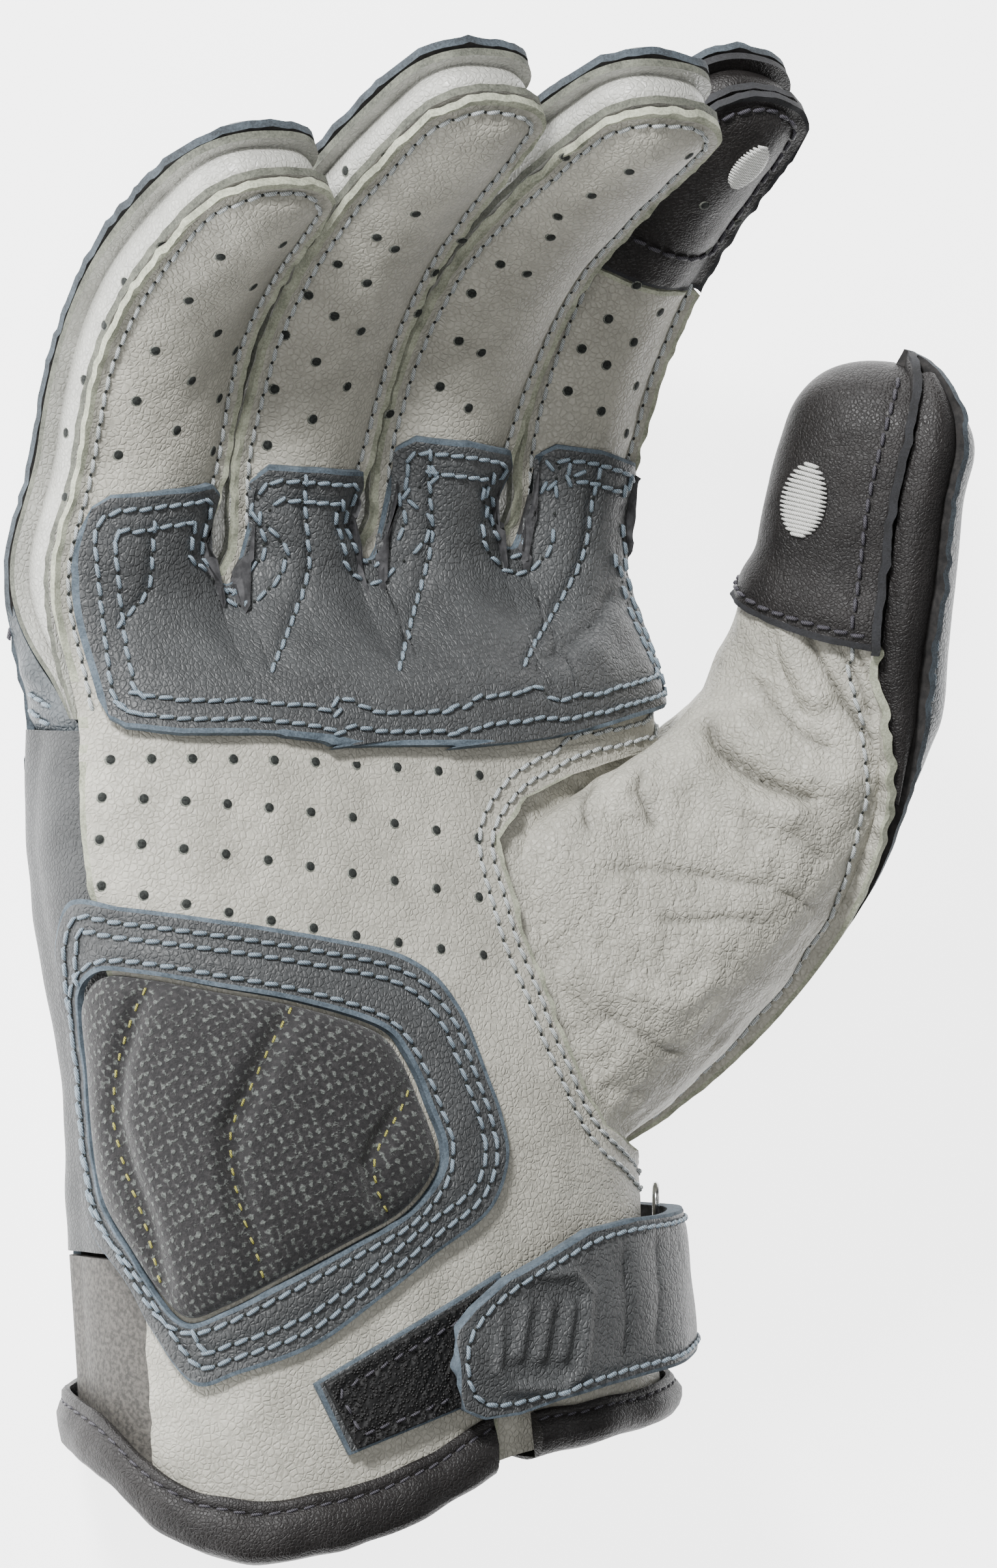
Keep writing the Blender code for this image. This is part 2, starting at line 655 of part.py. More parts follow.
def thumb_base(psi, v):
    """Ball of the thumb (v below 0.5) blended into the free thumb (v up to 1)."""
    psi, v = np.broadcast_arrays(np.asarray(psi, float), np.asarray(v, float))
    psi = np.mod(psi, 2 * math.pi)
    t = THUMB_JOIN + (v - 0.5) / 0.5 * (1 - THUMB_JOIN)
    free = thumb_tube(psi, np.maximum(t, THUMB_JOIN))
    end = thumb_tube(psi, np.full_like(psi, THUMB_JOIN))
    ahead = thumb_frame(np.full_like(psi, THUMB_JOIN))[0]
    root = thumb_root(psi, -(WALL + GAP) - 0.0004)
    inner = thumb_root(psi, -(WALL + GAP) - 0.0014)
    up = root - inner
    up /= np.linalg.norm(up, axis=-1, keepdims=True)
    span = end - root
    reach = np.linalg.norm(span, axis=-1, keepdims=True)
    flat = span - up * np.sum(span * up, -1, keepdims=True)
    flat /= np.maximum(np.linalg.norm(flat, axis=-1, keepdims=True), 1e-9)
    f = np.clip(v / 0.5, 0, 1)[..., None]
    front = np.clip(np.sin(psi), 0, 1)[..., None]
    outer = np.clip(np.cos(psi), 0, 1)[..., None]
    web = np.clip(-np.cos(psi), 0, 1)[..., None] ** 2
    leave = (flat * (0.8 - 0.3 * web) + up * (0.25 + 0.35 * front + 0.75 * outer ** 2 + 0.5 * web)) * reach
    join = ahead * reach * 0.8
    ball = ((2 * f ** 3 - 3 * f ** 2 + 1) * root + (f ** 3 - 2 * f ** 2 + f) * leave
            + (-2 * f ** 3 + 3 * f ** 2) * end + (f ** 3 - f ** 2) * join)
    return np.where((v < 0.5)[..., None], ball, free)


def thumb(psi, v, h=0.0):
    """Thumb leather: angle round it, share from base seam to tip, height above the face."""
    psi, v, h = np.broadcast_arrays(np.asarray(psi, float), np.asarray(v, float), np.asarray(h, float))
    return lifted(thumb_base, psi, np.minimum(v, 0.9985), -h, 2e-3, 2e-3)


def thumb_sheet(start, stop, v, lips, h=0.0, around=9):
    """Thumb piece between two seam lines, with a seam edge standing up along chosen sides."""
    v = np.asarray(v, float)
    lo, hi = start(v), stop(v)
    cols = []
    if lips[0]:
        cols.append(thumb(lo, v, h + SEAM_EDGE))
    for k in np.linspace(0, 1, around):
        cols.append(thumb(lo + (hi - lo) * k, v, h + 0 * v))
    if lips[1]:
        cols.append(thumb(hi, v, h + SEAM_EDGE))
    block = np.stack(cols, 1)
    if v[0] > 0:
        return block
    psi = [lo + (hi - lo) * k for k in np.linspace(0, 1, around)]
    psi = ([lo] if lips[0] else []) + psi + ([hi] if lips[1] else [])
    psi = np.mod(np.array([float(p[0]) for p in psi]), 2 * math.pi)
    tuck = thumb_root(psi, -(WALL + GAP) - 0.0006, 1.04)
    block[0] = thumb_root(psi, -(WALL + GAP) - 0.0004)
    return np.concatenate([tuck[None], block])


def seam(column, shift=0.0):
    rows = list(zip(*THUMB_SEAMS))
    return lambda v: np.radians(np.interp(v, rows[0], rows[column])) + shift


def thumb_rows(lo, hi):
    rows = [0.04, 0.10, 0.17, 0.24, 0.31, 0.38, 0.45, 0.52, 0.60, 0.68, 0.76, 0.84, 0.90, 0.935, 0.96, 0.978, 0.99]
    return np.array([lo] + [r for r in rows if lo + 0.01 < r < hi - 0.01] + [hi])


THUMB_END = 0.996          # where the thumb pieces end at the closed tip
THUMB_CAP = 0.63           # thumb tip cap: share from the base seam to the tip
CLEAR = 0.045               # angle kept between neighbouring thumb pieces, radians


def thumb_piece(start, stop, lo, hi, lips, h=0.0, around=9):
    v = thumb_rows(lo, hi)
    block = thumb_sheet(start, stop, v, lips, h, around)
    faces = grid_faces(*block.shape[:2])
    return thicken(block.reshape(-1, 3), [tuple(reversed(f)) for f in faces], WALL)


def thumb_panel():
    end = math.radians(THUMB_INNER) - CLEAR * 2.0
    return thumb_piece(seam(1, CLEAR), lambda v: end + 0 * v, 0.0, THUMB_CAP - 0.004, (True, False), around=12)


def thumb_tip_cap():
    end = math.radians(THUMB_INNER) - CLEAR * 2.0
    return thumb_piece(seam(1, CLEAR + 0.05), lambda v: end + 0 * v, THUMB_CAP + 0.004, THUMB_END, (True, False))


def thumb_back():
    start = math.radians(THUMB_INNER) + CLEAR * 2.0
    rows = seam(2, 2 * math.pi - CLEAR)
    return thumb_piece(lambda v: start + 0 * v, rows, 0.0, THUMB_END, (False, True))


def thumb_side_strip():
    """Narrow strip between the two seam edges on the outer side of the thumb."""
    v = thumb_rows(0.50, 0.982)
    lo = seam(2, 0.115)(v)
    hi = seam(1, -0.115)(v)
    block = np.stack([thumb(lo + (hi - lo) * k, v, 0 * v) for k in (0.0, 0.33, 0.67, 1.0)], 1)
    faces = [tuple(reversed(f)) for f in grid_faces(*block.shape[:2])]
    return thicken(block.reshape(-1, 3), faces, WALL)


def lay(block, wall, flip=False):
    block = np.asarray(block)
    faces = grid_faces(*block.shape[:2])
    if flip:
        faces = [tuple(reversed(f)) for f in faces]
    return thicken(block.reshape(-1, 3), faces, wall)


def side_panel():
    """Grey leather round the little finger edge, tucked under the palm and back panels."""
    tau = np.radians(np.linspace(ULNAR - 4, BACK_ULNAR + 5, 8))
    b = np.array([0.31, 0.38, 0.46, 0.54, 0.62, 0.70, 0.76, 0.803]) * PALM_LENGTH
    B, T = np.meshgrid(b, tau, indexing="ij")
    return lay(palm(T, B, -(WALL + GAP)), WALL, flip=True)


def knuckle_gusset():
    """Folded dark gusset above the side panel, behind the little finger's side band."""
    b = np.linspace(0.812, 0.925, 9) * PALM_LENGTH
    seam_line = free_edge(0, b, -1)
    inner = sheet(np.full_like(b, 0.16), b, -1, -(WALL + GAP) - 0.0014)
    k = np.linspace(0.20, 1.0, 4)
    p = seam_line[:, None] + (inner - seam_line)[:, None] * k[:, None]
    fold = 0.0009 * np.sin(np.linspace(0, 4 * math.pi, len(b)))[:, None] * np.sin(math.pi * np.clip(k * 1.6 - 0.3, 0, 1))
    hold = 1.1 * (WALL + GAP) * (1 - k)
    p[..., 0] += hold - np.abs(fold) * 0.6
    return lay(p, WALL * 0.8, flip=True)


def cuff_strip():
    """Stretch strip let into the little finger side of the cuff."""
    k = np.linspace(0, 1, 6)
    tau = np.radians(158.0 + (196.0 - 158.0) * k)
    rows = np.linspace(0, 1, 6)
    T = np.repeat(tau[None, :], 6, 0)
    low = cuff_edge(T[0])
    B = low + (0.305 * PALM_LENGTH - low) * rows[:, None]
    return lay(palm(T, B, -(WALL + GAP)), WALL, flip=True)


def flap_tuck(tau):
    """How far the flap dips under the palm panel, by angle in degrees."""
    return -(WALL + GAP) * ease((tau - 62) / 24)


def cuff_flap():
    """Thumb side of the cuff front, tucked under the palm panel at the slit."""
    tau = np.radians(np.array([slit_angle() + 1.8, slit_angle() + 0.6, 79.5, 72, 62, 50, 38, 26, 14, 2, -7.4]))
    rows = np.linspace(0, 1, 5)
    T = np.repeat(tau[None, :], 5, 0)
    low = cuff_edge(T[0])
    B = low + (0.262 * PALM_LENGTH - low) * rows[:, None]
    return lay(palm(T, B, flap_tuck(np.degrees(T))), WALL)


BINDING_HEIGHT = 0.0085


def binding(tau, height, sink=0.0):
    """Folded leather edging: a channel over the cuff edge, tau in degrees."""
    height = np.interp(tau, (-10, 60, 90, 120, 190, 240, 352), np.array(height)) * BINDING_HEIGHT
    tau = np.radians(tau)
    edge = cuff_edge(tau)
    top, under = 0.0009, -(2 * WALL + GAP) - 0.0010
    prof = [
        (1.0, 0.0, top), (1.0, 0.0, top + 0.0012), (0.5, 0.0, top + 0.0022),
        (0.0, -0.0002, top + 0.0018), (0.0, -0.0034, -0.0006), (0.0, -0.0034, -0.0020),
        (0.0, -0.0002, under - 0.0014), (0.8, 0.0, under - 0.0011), (0.8, 0.0, under),
        (0.0, -0.0021, under), (0.0, -0.0021, top),
    ]
    loops = np.stack([palm(tau, edge + height * share + shift, h + sink + 0 * tau) for share, shift, h in prof], 1)
    return prism(loops)


def cuff_binding():
    """Edging of the palm flap, the little finger side and the back."""
    tau = np.concatenate([[slit_angle() + 2.4, 95], np.arange(104, 200, 10.0), np.arange(205, 345, 14.0), [349.0]])
    return binding(tau, (0.6, 0.7, 0.95, 1.0, 1.0, 0.8, 0.6))


def flap_binding():
    """Edging of the thumb side flap."""
    tau = np.array([-7.4, 2.0, 14, 26, 38, 50, 62, 72, 79.5])
    return binding(tau, (0.5, 0.62, 0.75, 0.75, 1.0, 0.8, 0.6), flap_tuck(tau))


LAYER = 0.0004             # clearance under a small overlay
OVERLAY_GAP = 0.0009       # clearance under the wide palm overlay


def outline(rows, turn):
    """Closed outline through a table of (angle about the middle, angle, along)."""
    turns, angle, along = table(rows, "turn", "angle", "along")
    turns = np.append(turns, turns[0] + 360.0)
    angle = np.append(angle, angle[0])
    along = np.append(along, along[0])
    t = (np.asarray(turn, float) - turns[0]) % 360.0 + turns[0]
    return np.interp(t, turns, angle), np.interp(t, turns, along)


# Heel pad frame and pad: turn, angle round the palm, share along the palm.
FRAME_OUT = (
    (0, 81.5, 0.41), (18, 86, 0.49), (34, 90.5, 0.55), (50, 98, 0.59), (68, 112, 0.61), (90, 132, 0.628),
    (112, 152, 0.640), (130, 168, 0.645), (146, 177, 0.600), (165, 182.5, 0.50), (185, 183.5, 0.42),
    (205, 179, 0.34), (222, 166, 0.29), (238, 157, 0.235), (254, 148, 0.193), (272, 137, 0.203),
    (290, 121, 0.228), (308, 108, 0.270), (326, 97, 0.310), (344, 85, 0.355),
)
FRAME_IN = (
    (0, 94.5, 0.41), (18, 97.5, 0.46), (34, 100.5, 0.50), (50, 104.5, 0.525), (68, 117, 0.548), (90, 133, 0.564),
    (112, 150, 0.578), (130, 163, 0.580), (146, 171.5, 0.555), (165, 175.0, 0.49), (185, 175.5, 0.42),
    (205, 172, 0.36), (222, 163.5, 0.315), (238, 156, 0.273), (254, 149, 0.250), (272, 139, 0.262),
    (290, 126, 0.289), (308, 112, 0.322), (326, 101.5, 0.350), (344, 95.5, 0.385),
)
PAD_CENTRE = (134.0, 0.415)
FRAME_WALL = 0.0012
ROUND = 28                 # stations round the heel pad
PAD_RINGS = (1.0, 0.90, 0.68, 0.36)
PAD_RISE = 0.0042          # how far the quilted pad swells above its edge


def heel_frame():
    turn = np.linspace(0, 360, ROUND + 1)[:-1]
    a, b = outline(FRAME_OUT, turn)
    c, d = outline(FRAME_IN, turn)
    rows = []
    for k, h in ((0.0, 0.0), (0.5, 0.0002), (1.0, 0.0004)):
        tau = np.radians(a + (c - a) * k)
        rows.append(palm(tau, (b + (d - b) * k) * PALM_LENGTH, LAYER + FRAME_WALL + h))
    block = np.array(rows)
    return thicken(block.reshape(-1, 3), grid_faces(3, ROUND, closed=True), FRAME_WALL)


def heel_pad():
    """Padded knit panel let into the frame."""
    turn = np.linspace(0, 360, ROUND + 1)[:-1]
    c, d = outline(FRAME_IN, turn)
    mid_a, mid_b = PAD_CENTRE
    inset = 0.965
    over, under = [], []
    for k in PAD_RINGS + (0.0,):
        tau = np.radians(mid_a + (c - mid_a) * k * inset)
        level = (mid_b + (d - mid_b) * k * inset) * PALM_LENGTH
        rise = PAD_RISE * (max(1 - k ** 3.2, 0.0)) ** 0.5
        over.append(palm(tau, level, LAYER + 0.0009 + rise + 0 * tau))
        under.append(palm(tau, level, LAYER + 0 * tau))
    rings = len(PAD_RINGS)
    top = np.concatenate([np.array(over[:rings]).reshape(-1, 3), over[rings][:1]])
    low = np.concatenate([np.array(under[:rings]).reshape(-1, 3), under[rings][:1]])
    faces = grid_faces(rings, ROUND, closed=True)
    n = len(top) - 1
    start = (rings - 1) * ROUND
    faces += [(start + k, start + (k + 1) % ROUND, n) for k in range(ROUND)]
    count = len(top)
    closed = list(faces) + [tuple(k + count for k in reversed(f)) for f in faces]
    closed += [((k + 1) % ROUND, k, k + count, (k + 1) % ROUND + count) for k in range(ROUND)]
    return np.concatenate([top, low]), closed


# Palm overlay: strip position across, lower edge, upper edge (shares of palm length).
OVERLAY = (
    # across, lower, upper
    (0.10, 0.835, 1.005), (0.13, 0.815, 1.030), (0.20, 0.806, 1.044), (0.50, 0.800, 1.052), (0.80, 0.800, 1.056),
    (0.885, 0.800, 1.045), (0.905, 0.800, 1.010), (0.915, 0.800, 0.958), (0.95, 0.800, 0.948), (1.0, 0.800, 0.945),
    (1.05, 0.800, 0.948), (1.085, 0.800, 0.958), (1.095, 0.800, 1.020), (1.12, 0.800, 1.062), (1.20, 0.798, 1.080),
    (1.50, 0.795, 1.084), (1.82, 0.790, 1.080), (1.895, 0.790, 1.062), (1.915, 0.790, 1.030), (1.925, 0.789, 0.990),
    (1.96, 0.788, 0.978), (2.0, 0.787, 0.976), (2.04, 0.787, 0.978), (2.075, 0.788, 0.990), (2.085, 0.788, 1.050),
    (2.11, 0.789, 1.095), (2.20, 0.790, 1.112), (2.50, 0.790, 1.118), (2.80, 0.790, 1.112), (2.89, 0.789, 1.095),
    (2.91, 0.788, 1.050), (2.925, 0.788, 1.002), (2.96, 0.787, 0.992), (3.0, 0.788, 0.990), (3.04, 0.790, 0.992),
    (3.075, 0.793, 1.002), (3.09, 0.795, 1.040), (3.12, 0.798, 1.080), (3.22, 0.805, 1.096), (3.50, 0.818, 1.100),
    (3.80, 0.828, 1.094), (3.93, 0.834, 1.075),
)


def palm_overlay():
    across, lower, upper = table(OVERLAY, "across", "lower", "upper")
    rows = np.linspace(0, 1, 6)
    U = np.repeat(across[None, :], len(rows), 0)
    B = (lower + (upper - lower) * rows[:, None]) * PALM_LENGTH
    return lay(sheet(U, B, 1, OVERLAY_GAP + WALL), WALL)


def patch(corners, rows, columns, h, wall):
    """Four-cornered patch on the palm: corners as (angle, along), lower left first, anticlockwise."""
    c = np.array(corners, float)
    r = np.linspace(0, 1, rows)[:, None]
    k = np.linspace(0, 1, columns)[None, :]
    p = ((1 - r)[..., None] * ((1 - k)[..., None] * c[0] + k[..., None] * c[1])
         + r[..., None] * ((1 - k)[..., None] * c[3] + k[..., None] * c[2]))
    return lay(palm(np.radians(p[..., 0]), p[..., 1] * PALM_LENGTH, h + wall), wall)


LOOP = ((115.5, 0.124), (93.0, 0.166), (84.0, 0.292), (121.5, 0.192))


def loop_patch():
    """Soft loop side of the hook and loop closure, on the palm flap."""
    c = np.array(LOOP)
    mid = c.mean(0)
    return patch(mid + (c - mid) * 0.90, 5, 7, LAYER + 0.0008 + 0.0003, 0.0012)


def loop_backing():
    """Leather patch under the loop tape."""
    return patch(LOOP, 5, 7, LAYER, 0.0008)


# Wrist strap: angle round the wrist, lower edge, upper edge, height above the leather.
STRAP = (
    (98.2, 0.190, 0.222, 0.0041), (97.0, 0.164, 0.243, 0.0042), (93.5, 0.155, 0.262, 0.0042),
    (87.0, 0.158, 0.288, 0.0042), (79.0, 0.170, 0.306, 0.0042), (69.0, 0.180, 0.330, 0.0043),
    (57.0, 0.188, 0.338, 0.0043), (44.0, 0.194, 0.339, 0.0042), (31.0, 0.200, 0.342, 0.0040),
    (18.0, 0.205, 0.343, 0.0036), (6.0, 0.210, 0.343, 0.0030), (-8.0, 0.212, 0.343, 0.0024),
    (-22.0, 0.212, 0.343, 0.0016), (-32.0, 0.212, 0.343, 0.0008),
)
STRAP_WALL = 0.0022


def wrist_strap():
    angle, lower, upper, height = table(STRAP, "angle", "lower", "upper", "height")
    k = np.linspace(0, 1, 5)[:, None]
    T = np.repeat(np.radians(angle)[None, :], 5, 0)
    B = (lower + (upper - lower) * k) * PALM_LENGTH
    crown = 0.0004 * np.sin(math.pi * k)
    return lay(palm(T, B, height + STRAP_WALL + crown), STRAP_WALL)


def strap_hook():
    """Hook side of the closure, under the free end of the strap."""
    angle, lower, upper, height = [c[1:7] for c in table(STRAP, "angle", "lower", "upper", "height")]
    k = np.linspace(0.06, 0.94, 4)[:, None]
    T = np.repeat(np.radians(angle)[None, :], 4, 0)
    B = (lower + (upper - lower) * k) * PALM_LENGTH
    return lay(palm(T, B, height - 0.0003), 0.0006)


def touch_mark(surface, centre, half_u, half_v, lift):
    """Small raised oval of embroidery on a fingertip."""
    turn = np.linspace(0, 2 * math.pi, 13)[:-1]
    rings = (1.0, 0.6)
    over, under = [], []
    for k in rings + (0.0,):
        u = centre[0] + half_u * k * np.cos(turn)
        v = centre[1] + half_v * k * np.sin(turn)
        over.append(surface(u, v, lift + 0.0004 + 0.0003 * (1 - k)))
        under.append(surface(u, v, lift + 0 * u))
    top = np.concatenate([np.array(over[:2]).reshape(-1, 3), over[2][:1]])
    low = np.concatenate([np.array(under[:2]).reshape(-1, 3), under[2][:1]])
    n = len(turn)
    faces = grid_faces(2, n, closed=True)
    faces += [(n + k, n + (k + 1) % n, 2 * n) for k in range(n)]
    count = len(top)
    closed = list(faces) + [tuple(k + count for k in reversed(f)) for f in faces]
    closed += [((k + 1) % n, k, k + count, (k + 1) % n + count) for k in range(n)]
    return np.concatenate([top, low]), closed


def index_touch_mark():
    finger = HAND["index"]

    def surface(u, v, h):
        return sheet(u, finger.root[1] + v * finger.length, 1, h)
    return touch_mark(surface, (3.53, 0.87), 0.11, 0.045, 0.0004)


def thumb_touch_mark():
    return touch_mark(thumb, (math.radians(112.0), 0.80), 0.22, 0.045, 0.0004)


RING_WIRE = 0.0013
RING_SIZE = 0.0046


def strap_ring():
    """Small plain steel loop beside the strap, standing off the thumb side of the wrist."""
    centre = palm(np.array([math.radians(20.0)]), np.array([0.359 * PALM_LENGTH]), np.array([0.0068]))[0]
    turn = np.linspace(0, 2 * math.pi, 17)[:-1]
    small = np.linspace(0, 2 * math.pi, 6)[:-1]
    rows = []
    for a in turn:
        radial = np.array([math.cos(a) * 0.9, 0.35 * math.sin(a), math.sin(a) * 0.9])
        rows.append([centre + radial * (RING_SIZE + RING_WIRE / 2 * math.cos(k))
                     + np.array([0.0, RING_WIRE / 2 * math.sin(k), 0.0]) for k in small])
    block = np.array(rows)
    n, m = block.shape[:2]
    faces = []
    for r in range(n):
        for k in range(m):
            faces.append((r * m + k, r * m + (k + 1) % m, ((r + 1) % n) * m + (k + 1) % m, ((r + 1) % n) * m + k))
    return block.reshape(-1, 3), faces


def add(name, mesh_data, colour, roughness=0.6, metallic=0.0):
    verts, faces = mesh_data
    verts = np.asarray(verts) - ORIGIN
    mesh = bpy.data.meshes.new(name)
    mesh.from_pydata([tuple(v) for v in np.asarray(verts)], [], [tuple(int(k) for k in f) for f in faces])
    bm = bmesh.new()
    bm.from_mesh(mesh)
    bmesh.ops.recalc_face_normals(bm, faces=bm.faces)
    bm.to_mesh(mesh)
    bm.free()
    mesh.polygons.foreach_set("use_smooth", [True] * len(mesh.polygons))
    mesh.update()
    obj = bpy.data.objects.new(name, mesh)
    bpy.context.scene.collection.objects.link(obj)
    mat = bpy.data.materials.new(name + "_material")
    mat.use_nodes = True
    node = mat.node_tree.nodes["Principled BSDF"]
    node.inputs["Base Color"].default_value = (*colour, 1.0)
    node.inputs["Roughness"].default_value = roughness
    node.inputs["Metallic"].default_value = metallic
    mesh.materials.append(mat)
    return obj


for old in list(bpy.data.objects):
    bpy.data.objects.remove(old)

# Point of the working frame that becomes the origin: middle of the footprint, on the floor.
ORIGIN = np.array([0.01691, 0.11085, FLATTEN])

LIGHT = (0.47, 0.46, 0.42)         # bone leather
GREY = (0.125, 0.13, 0.132)        # grey leather
DARK = (0.075, 0.078, 0.080)       # back of the hand
BLACK = (0.035, 0.031, 0.029)      # fingertip leather and edging
KNIT = (0.075, 0.075, 0.065)       # speckled knit
STRETCH = (0.22, 0.21, 0.19)       # stretch cloth
TAPE = (0.022, 0.020, 0.019)       # hook and loop tape
THREAD = (0.62, 0.62, 0.58)        # embroidery thread
STEEL = (0.55, 0.55, 0.53)

add("palm_panel", palm_panel(), LIGHT)
add("back_panel", back_panel(), DARK)
add("index_tip_cap", index_tip_cap(), BLACK)
for n, name in enumerate(NAMES[:3]):
    add("side_band_" + name, band(n), LIGHT)
add("side_band_index_inner", band(3, last=0.60, half=-1), LIGHT)
add("side_band_index_outer", band(3, last=0.60, half=1), LIGHT)
add("index_tip_band", band(3, first=0.615), BLACK)
add("side_panel", side_panel(), GREY)
add("knuckle_gusset", knuckle_gusset(), DARK)
add("thumb_panel", thumb_panel(), LIGHT)
add("thumb_tip_cap", thumb_tip_cap(), BLACK)
add("thumb_back", thumb_back(), DARK)
add("thumb_side_strip", thumb_side_strip(), BLACK)
add("palm_overlay", palm_overlay(), GREY)
add("heel_frame", heel_frame(), GREY)
add("heel_pad", heel_pad(), KNIT, 0.9)
add("cuff_strip", cuff_strip(), STRETCH, 0.85)
add("cuff_flap", cuff_flap(), LIGHT)
add("cuff_binding", cuff_binding(), BLACK)
add("flap_binding", flap_binding(), BLACK)
add("loop_backing", loop_backing(), GREY)
add("loop_patch", loop_patch(), TAPE, 0.95)
add("wrist_strap", wrist_strap(), GREY)
add("strap_hook", strap_hook(), TAPE, 0.8)
add("index_touch_mark", index_touch_mark(), THREAD, 0.8)
add("thumb_touch_mark", thumb_touch_mark(), THREAD, 0.8)
add("strap_ring", strap_ring(), STEEL, 0.3, 1.0)
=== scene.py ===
"""Looks of a right-hand leather motorcycle glove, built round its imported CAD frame.

Sheets of leather are worked out as functions of two parameters and given real thickness.
Folds, stitches and perforations are placed where the photograph shows them, by casting the
photograph's line of sight onto the finished sheet, so each one sits on what carries it.
"""
import json
import math

import bpy
import numpy as np
from mathutils import Matrix, Vector
from mathutils.bvhtree import BVHTree
from mathutils.kdtree import KDTree

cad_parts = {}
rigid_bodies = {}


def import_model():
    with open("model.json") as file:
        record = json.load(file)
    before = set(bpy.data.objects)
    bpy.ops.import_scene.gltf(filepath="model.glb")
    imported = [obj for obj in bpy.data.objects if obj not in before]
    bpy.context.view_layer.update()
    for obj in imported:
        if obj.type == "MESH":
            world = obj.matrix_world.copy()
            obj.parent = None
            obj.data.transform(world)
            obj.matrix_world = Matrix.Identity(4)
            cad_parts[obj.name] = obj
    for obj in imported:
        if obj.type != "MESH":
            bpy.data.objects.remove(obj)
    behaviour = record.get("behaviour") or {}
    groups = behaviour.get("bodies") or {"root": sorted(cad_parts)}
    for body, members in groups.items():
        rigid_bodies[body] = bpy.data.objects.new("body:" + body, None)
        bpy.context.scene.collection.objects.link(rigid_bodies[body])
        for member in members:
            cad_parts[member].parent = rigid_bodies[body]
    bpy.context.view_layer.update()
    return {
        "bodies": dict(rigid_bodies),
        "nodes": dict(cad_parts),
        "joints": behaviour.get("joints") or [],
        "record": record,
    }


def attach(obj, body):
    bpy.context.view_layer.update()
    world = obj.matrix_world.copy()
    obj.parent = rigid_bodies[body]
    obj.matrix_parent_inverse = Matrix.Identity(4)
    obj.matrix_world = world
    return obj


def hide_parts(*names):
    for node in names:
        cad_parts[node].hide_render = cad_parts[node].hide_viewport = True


# Driving sizes of the whole glove, in metres.
PALM_WIDTH = 0.108        # across the knuckles, outside
PALM_LENGTH = 0.150       # lowest cuff edge to the middle finger root
WRIST_DEPTH = 0.056       # palm side to back side at the wrist
FINGER_LENGTH = 0.092     # middle finger, root to tip of the seam edge
FINGER_WIDTH = 0.0245     # across a finger panel with its seam edges
FINGER_BAND = 0.0136      # height of the side band at a finger root
FINGER_CROWN = 0.0034     # swell of a finger panel above its seams
SEAM_EDGE = 0.0024        # seam edge standing past the side band
CROTCH_GAP = 0.0046       # open channel between two finger roots
WALL = 0.0012             # leather
GAP = 0.0004              # clearance between neighbouring pieces
UNDER = WALL + GAP        # depth of a piece that runs under its neighbour
FLATTEN = 0.0012          # the back is pressed flat by this much where it lies on the floor
CUFF_LIFT = 0.0034        # the thick cuff edging holds the back of the wrist this high
SQUARE = 0.03             # how square the palm section is

# Palm sections: along and centre are shares of length and width; width, depth shares.
SECTIONS = (
    # along, centre, width, depth
    (-0.06, 0.035, 0.865, 0.97),
    (0.06, 0.035, 0.865, 0.97),
    (0.18, 0.02, 0.850, 0.97),
    (0.31, 0.000, 0.835, 0.97),
    (0.50, 0.00, 0.865, 0.93),
    (0.60, 0.005, 0.935, 0.88),
    (0.70, 0.015, 0.985, 0.82),
    (0.85, 0.022, 0.965, 0.72),
    (1.00, 0.02, 0.955, 0.65),
    (1.15, 0.02, 0.955, 0.62),
)

# Fingers. Roots across are shares of the palm width, along of its length.
FINGERS = {
    "little": dict(across=-0.326, along=0.965, length=0.83, width=1.02, splay=-2.0, roll=0.0,
                   flex=(8, 32, 22), at=(-0.05, 0.33, 0.62)),
    "ring": dict(across=-0.105, along=0.985, length=0.985, width=0.96, splay=2.0, roll=0.0,
                 flex=(13, 32, 16), at=(-0.05, 0.33, 0.62)),
    "middle": dict(across=0.122, along=1.005, length=1.0, width=0.98, splay=5.0, roll=0.0,
                   flex=(14, 37, 15), at=(-0.05, 0.33, 0.62)),
    "index": dict(across=0.345, along=1.008, length=0.885, width=0.92, splay=8.0, roll=4.0,
                  flex=(7, 28, 16), at=(-0.05, 0.33, 0.62)),
}
NAMES = ("little", "ring", "middle", "index")
# Where the panels part: little finger edge, three crotches, thumb edge; shares of width, length.
CROTCH_ACROSS = (-0.475, -0.218, 0.005, 0.239, 0.455)
CROTCH_ALONG = (1.02, 0.963, 0.997, 1.010, 1.01)
ROOT_HEIGHT = 0.0185      # middle of a finger's thickness at its root


def ease(t):
    """0 to 1, smooth at both ends: t * t * (3 - 2 t)."""
    t = np.clip(t, 0.0, 1.0)
    return t * t * (3.0 - 2.0 * t)


def curve(knots, values, t):
    """Smooth curve through the knots: cubic pieces with finite difference slopes."""
    x = np.asarray(knots, float)
    y = np.asarray(values, float)
    slope = np.gradient(y, x)
    t = np.clip(np.asarray(t, float), x[0], x[-1])
    k = np.clip(np.searchsorted(x, t, side="right") - 1, 0, len(x) - 2)
    h = x[k + 1] - x[k]
    f = (t - x[k]) / h
    return ((2 * f ** 3 - 3 * f ** 2 + 1) * y[k] + (f ** 3 - 2 * f ** 2 + f) * h * slope[k]
            + (-2 * f ** 3 + 3 * f ** 2) * y[k + 1] + (f ** 3 - f ** 2) * h * slope[k + 1])


def section(b):
    """Centre across, half width and half depth of the palm at level b, curves through SECTIONS."""
    t = np.asarray(b, float) / PALM_LENGTH
    columns = list(zip(*SECTIONS))
    centre = curve(columns[0], columns[1], t) * PALM_WIDTH
    half = curve(columns[0], columns[2], t) * PALM_WIDTH / 2
    depth = curve(columns[0], columns[3], t) * WRIST_DEPTH / 2
    return centre, half, depth


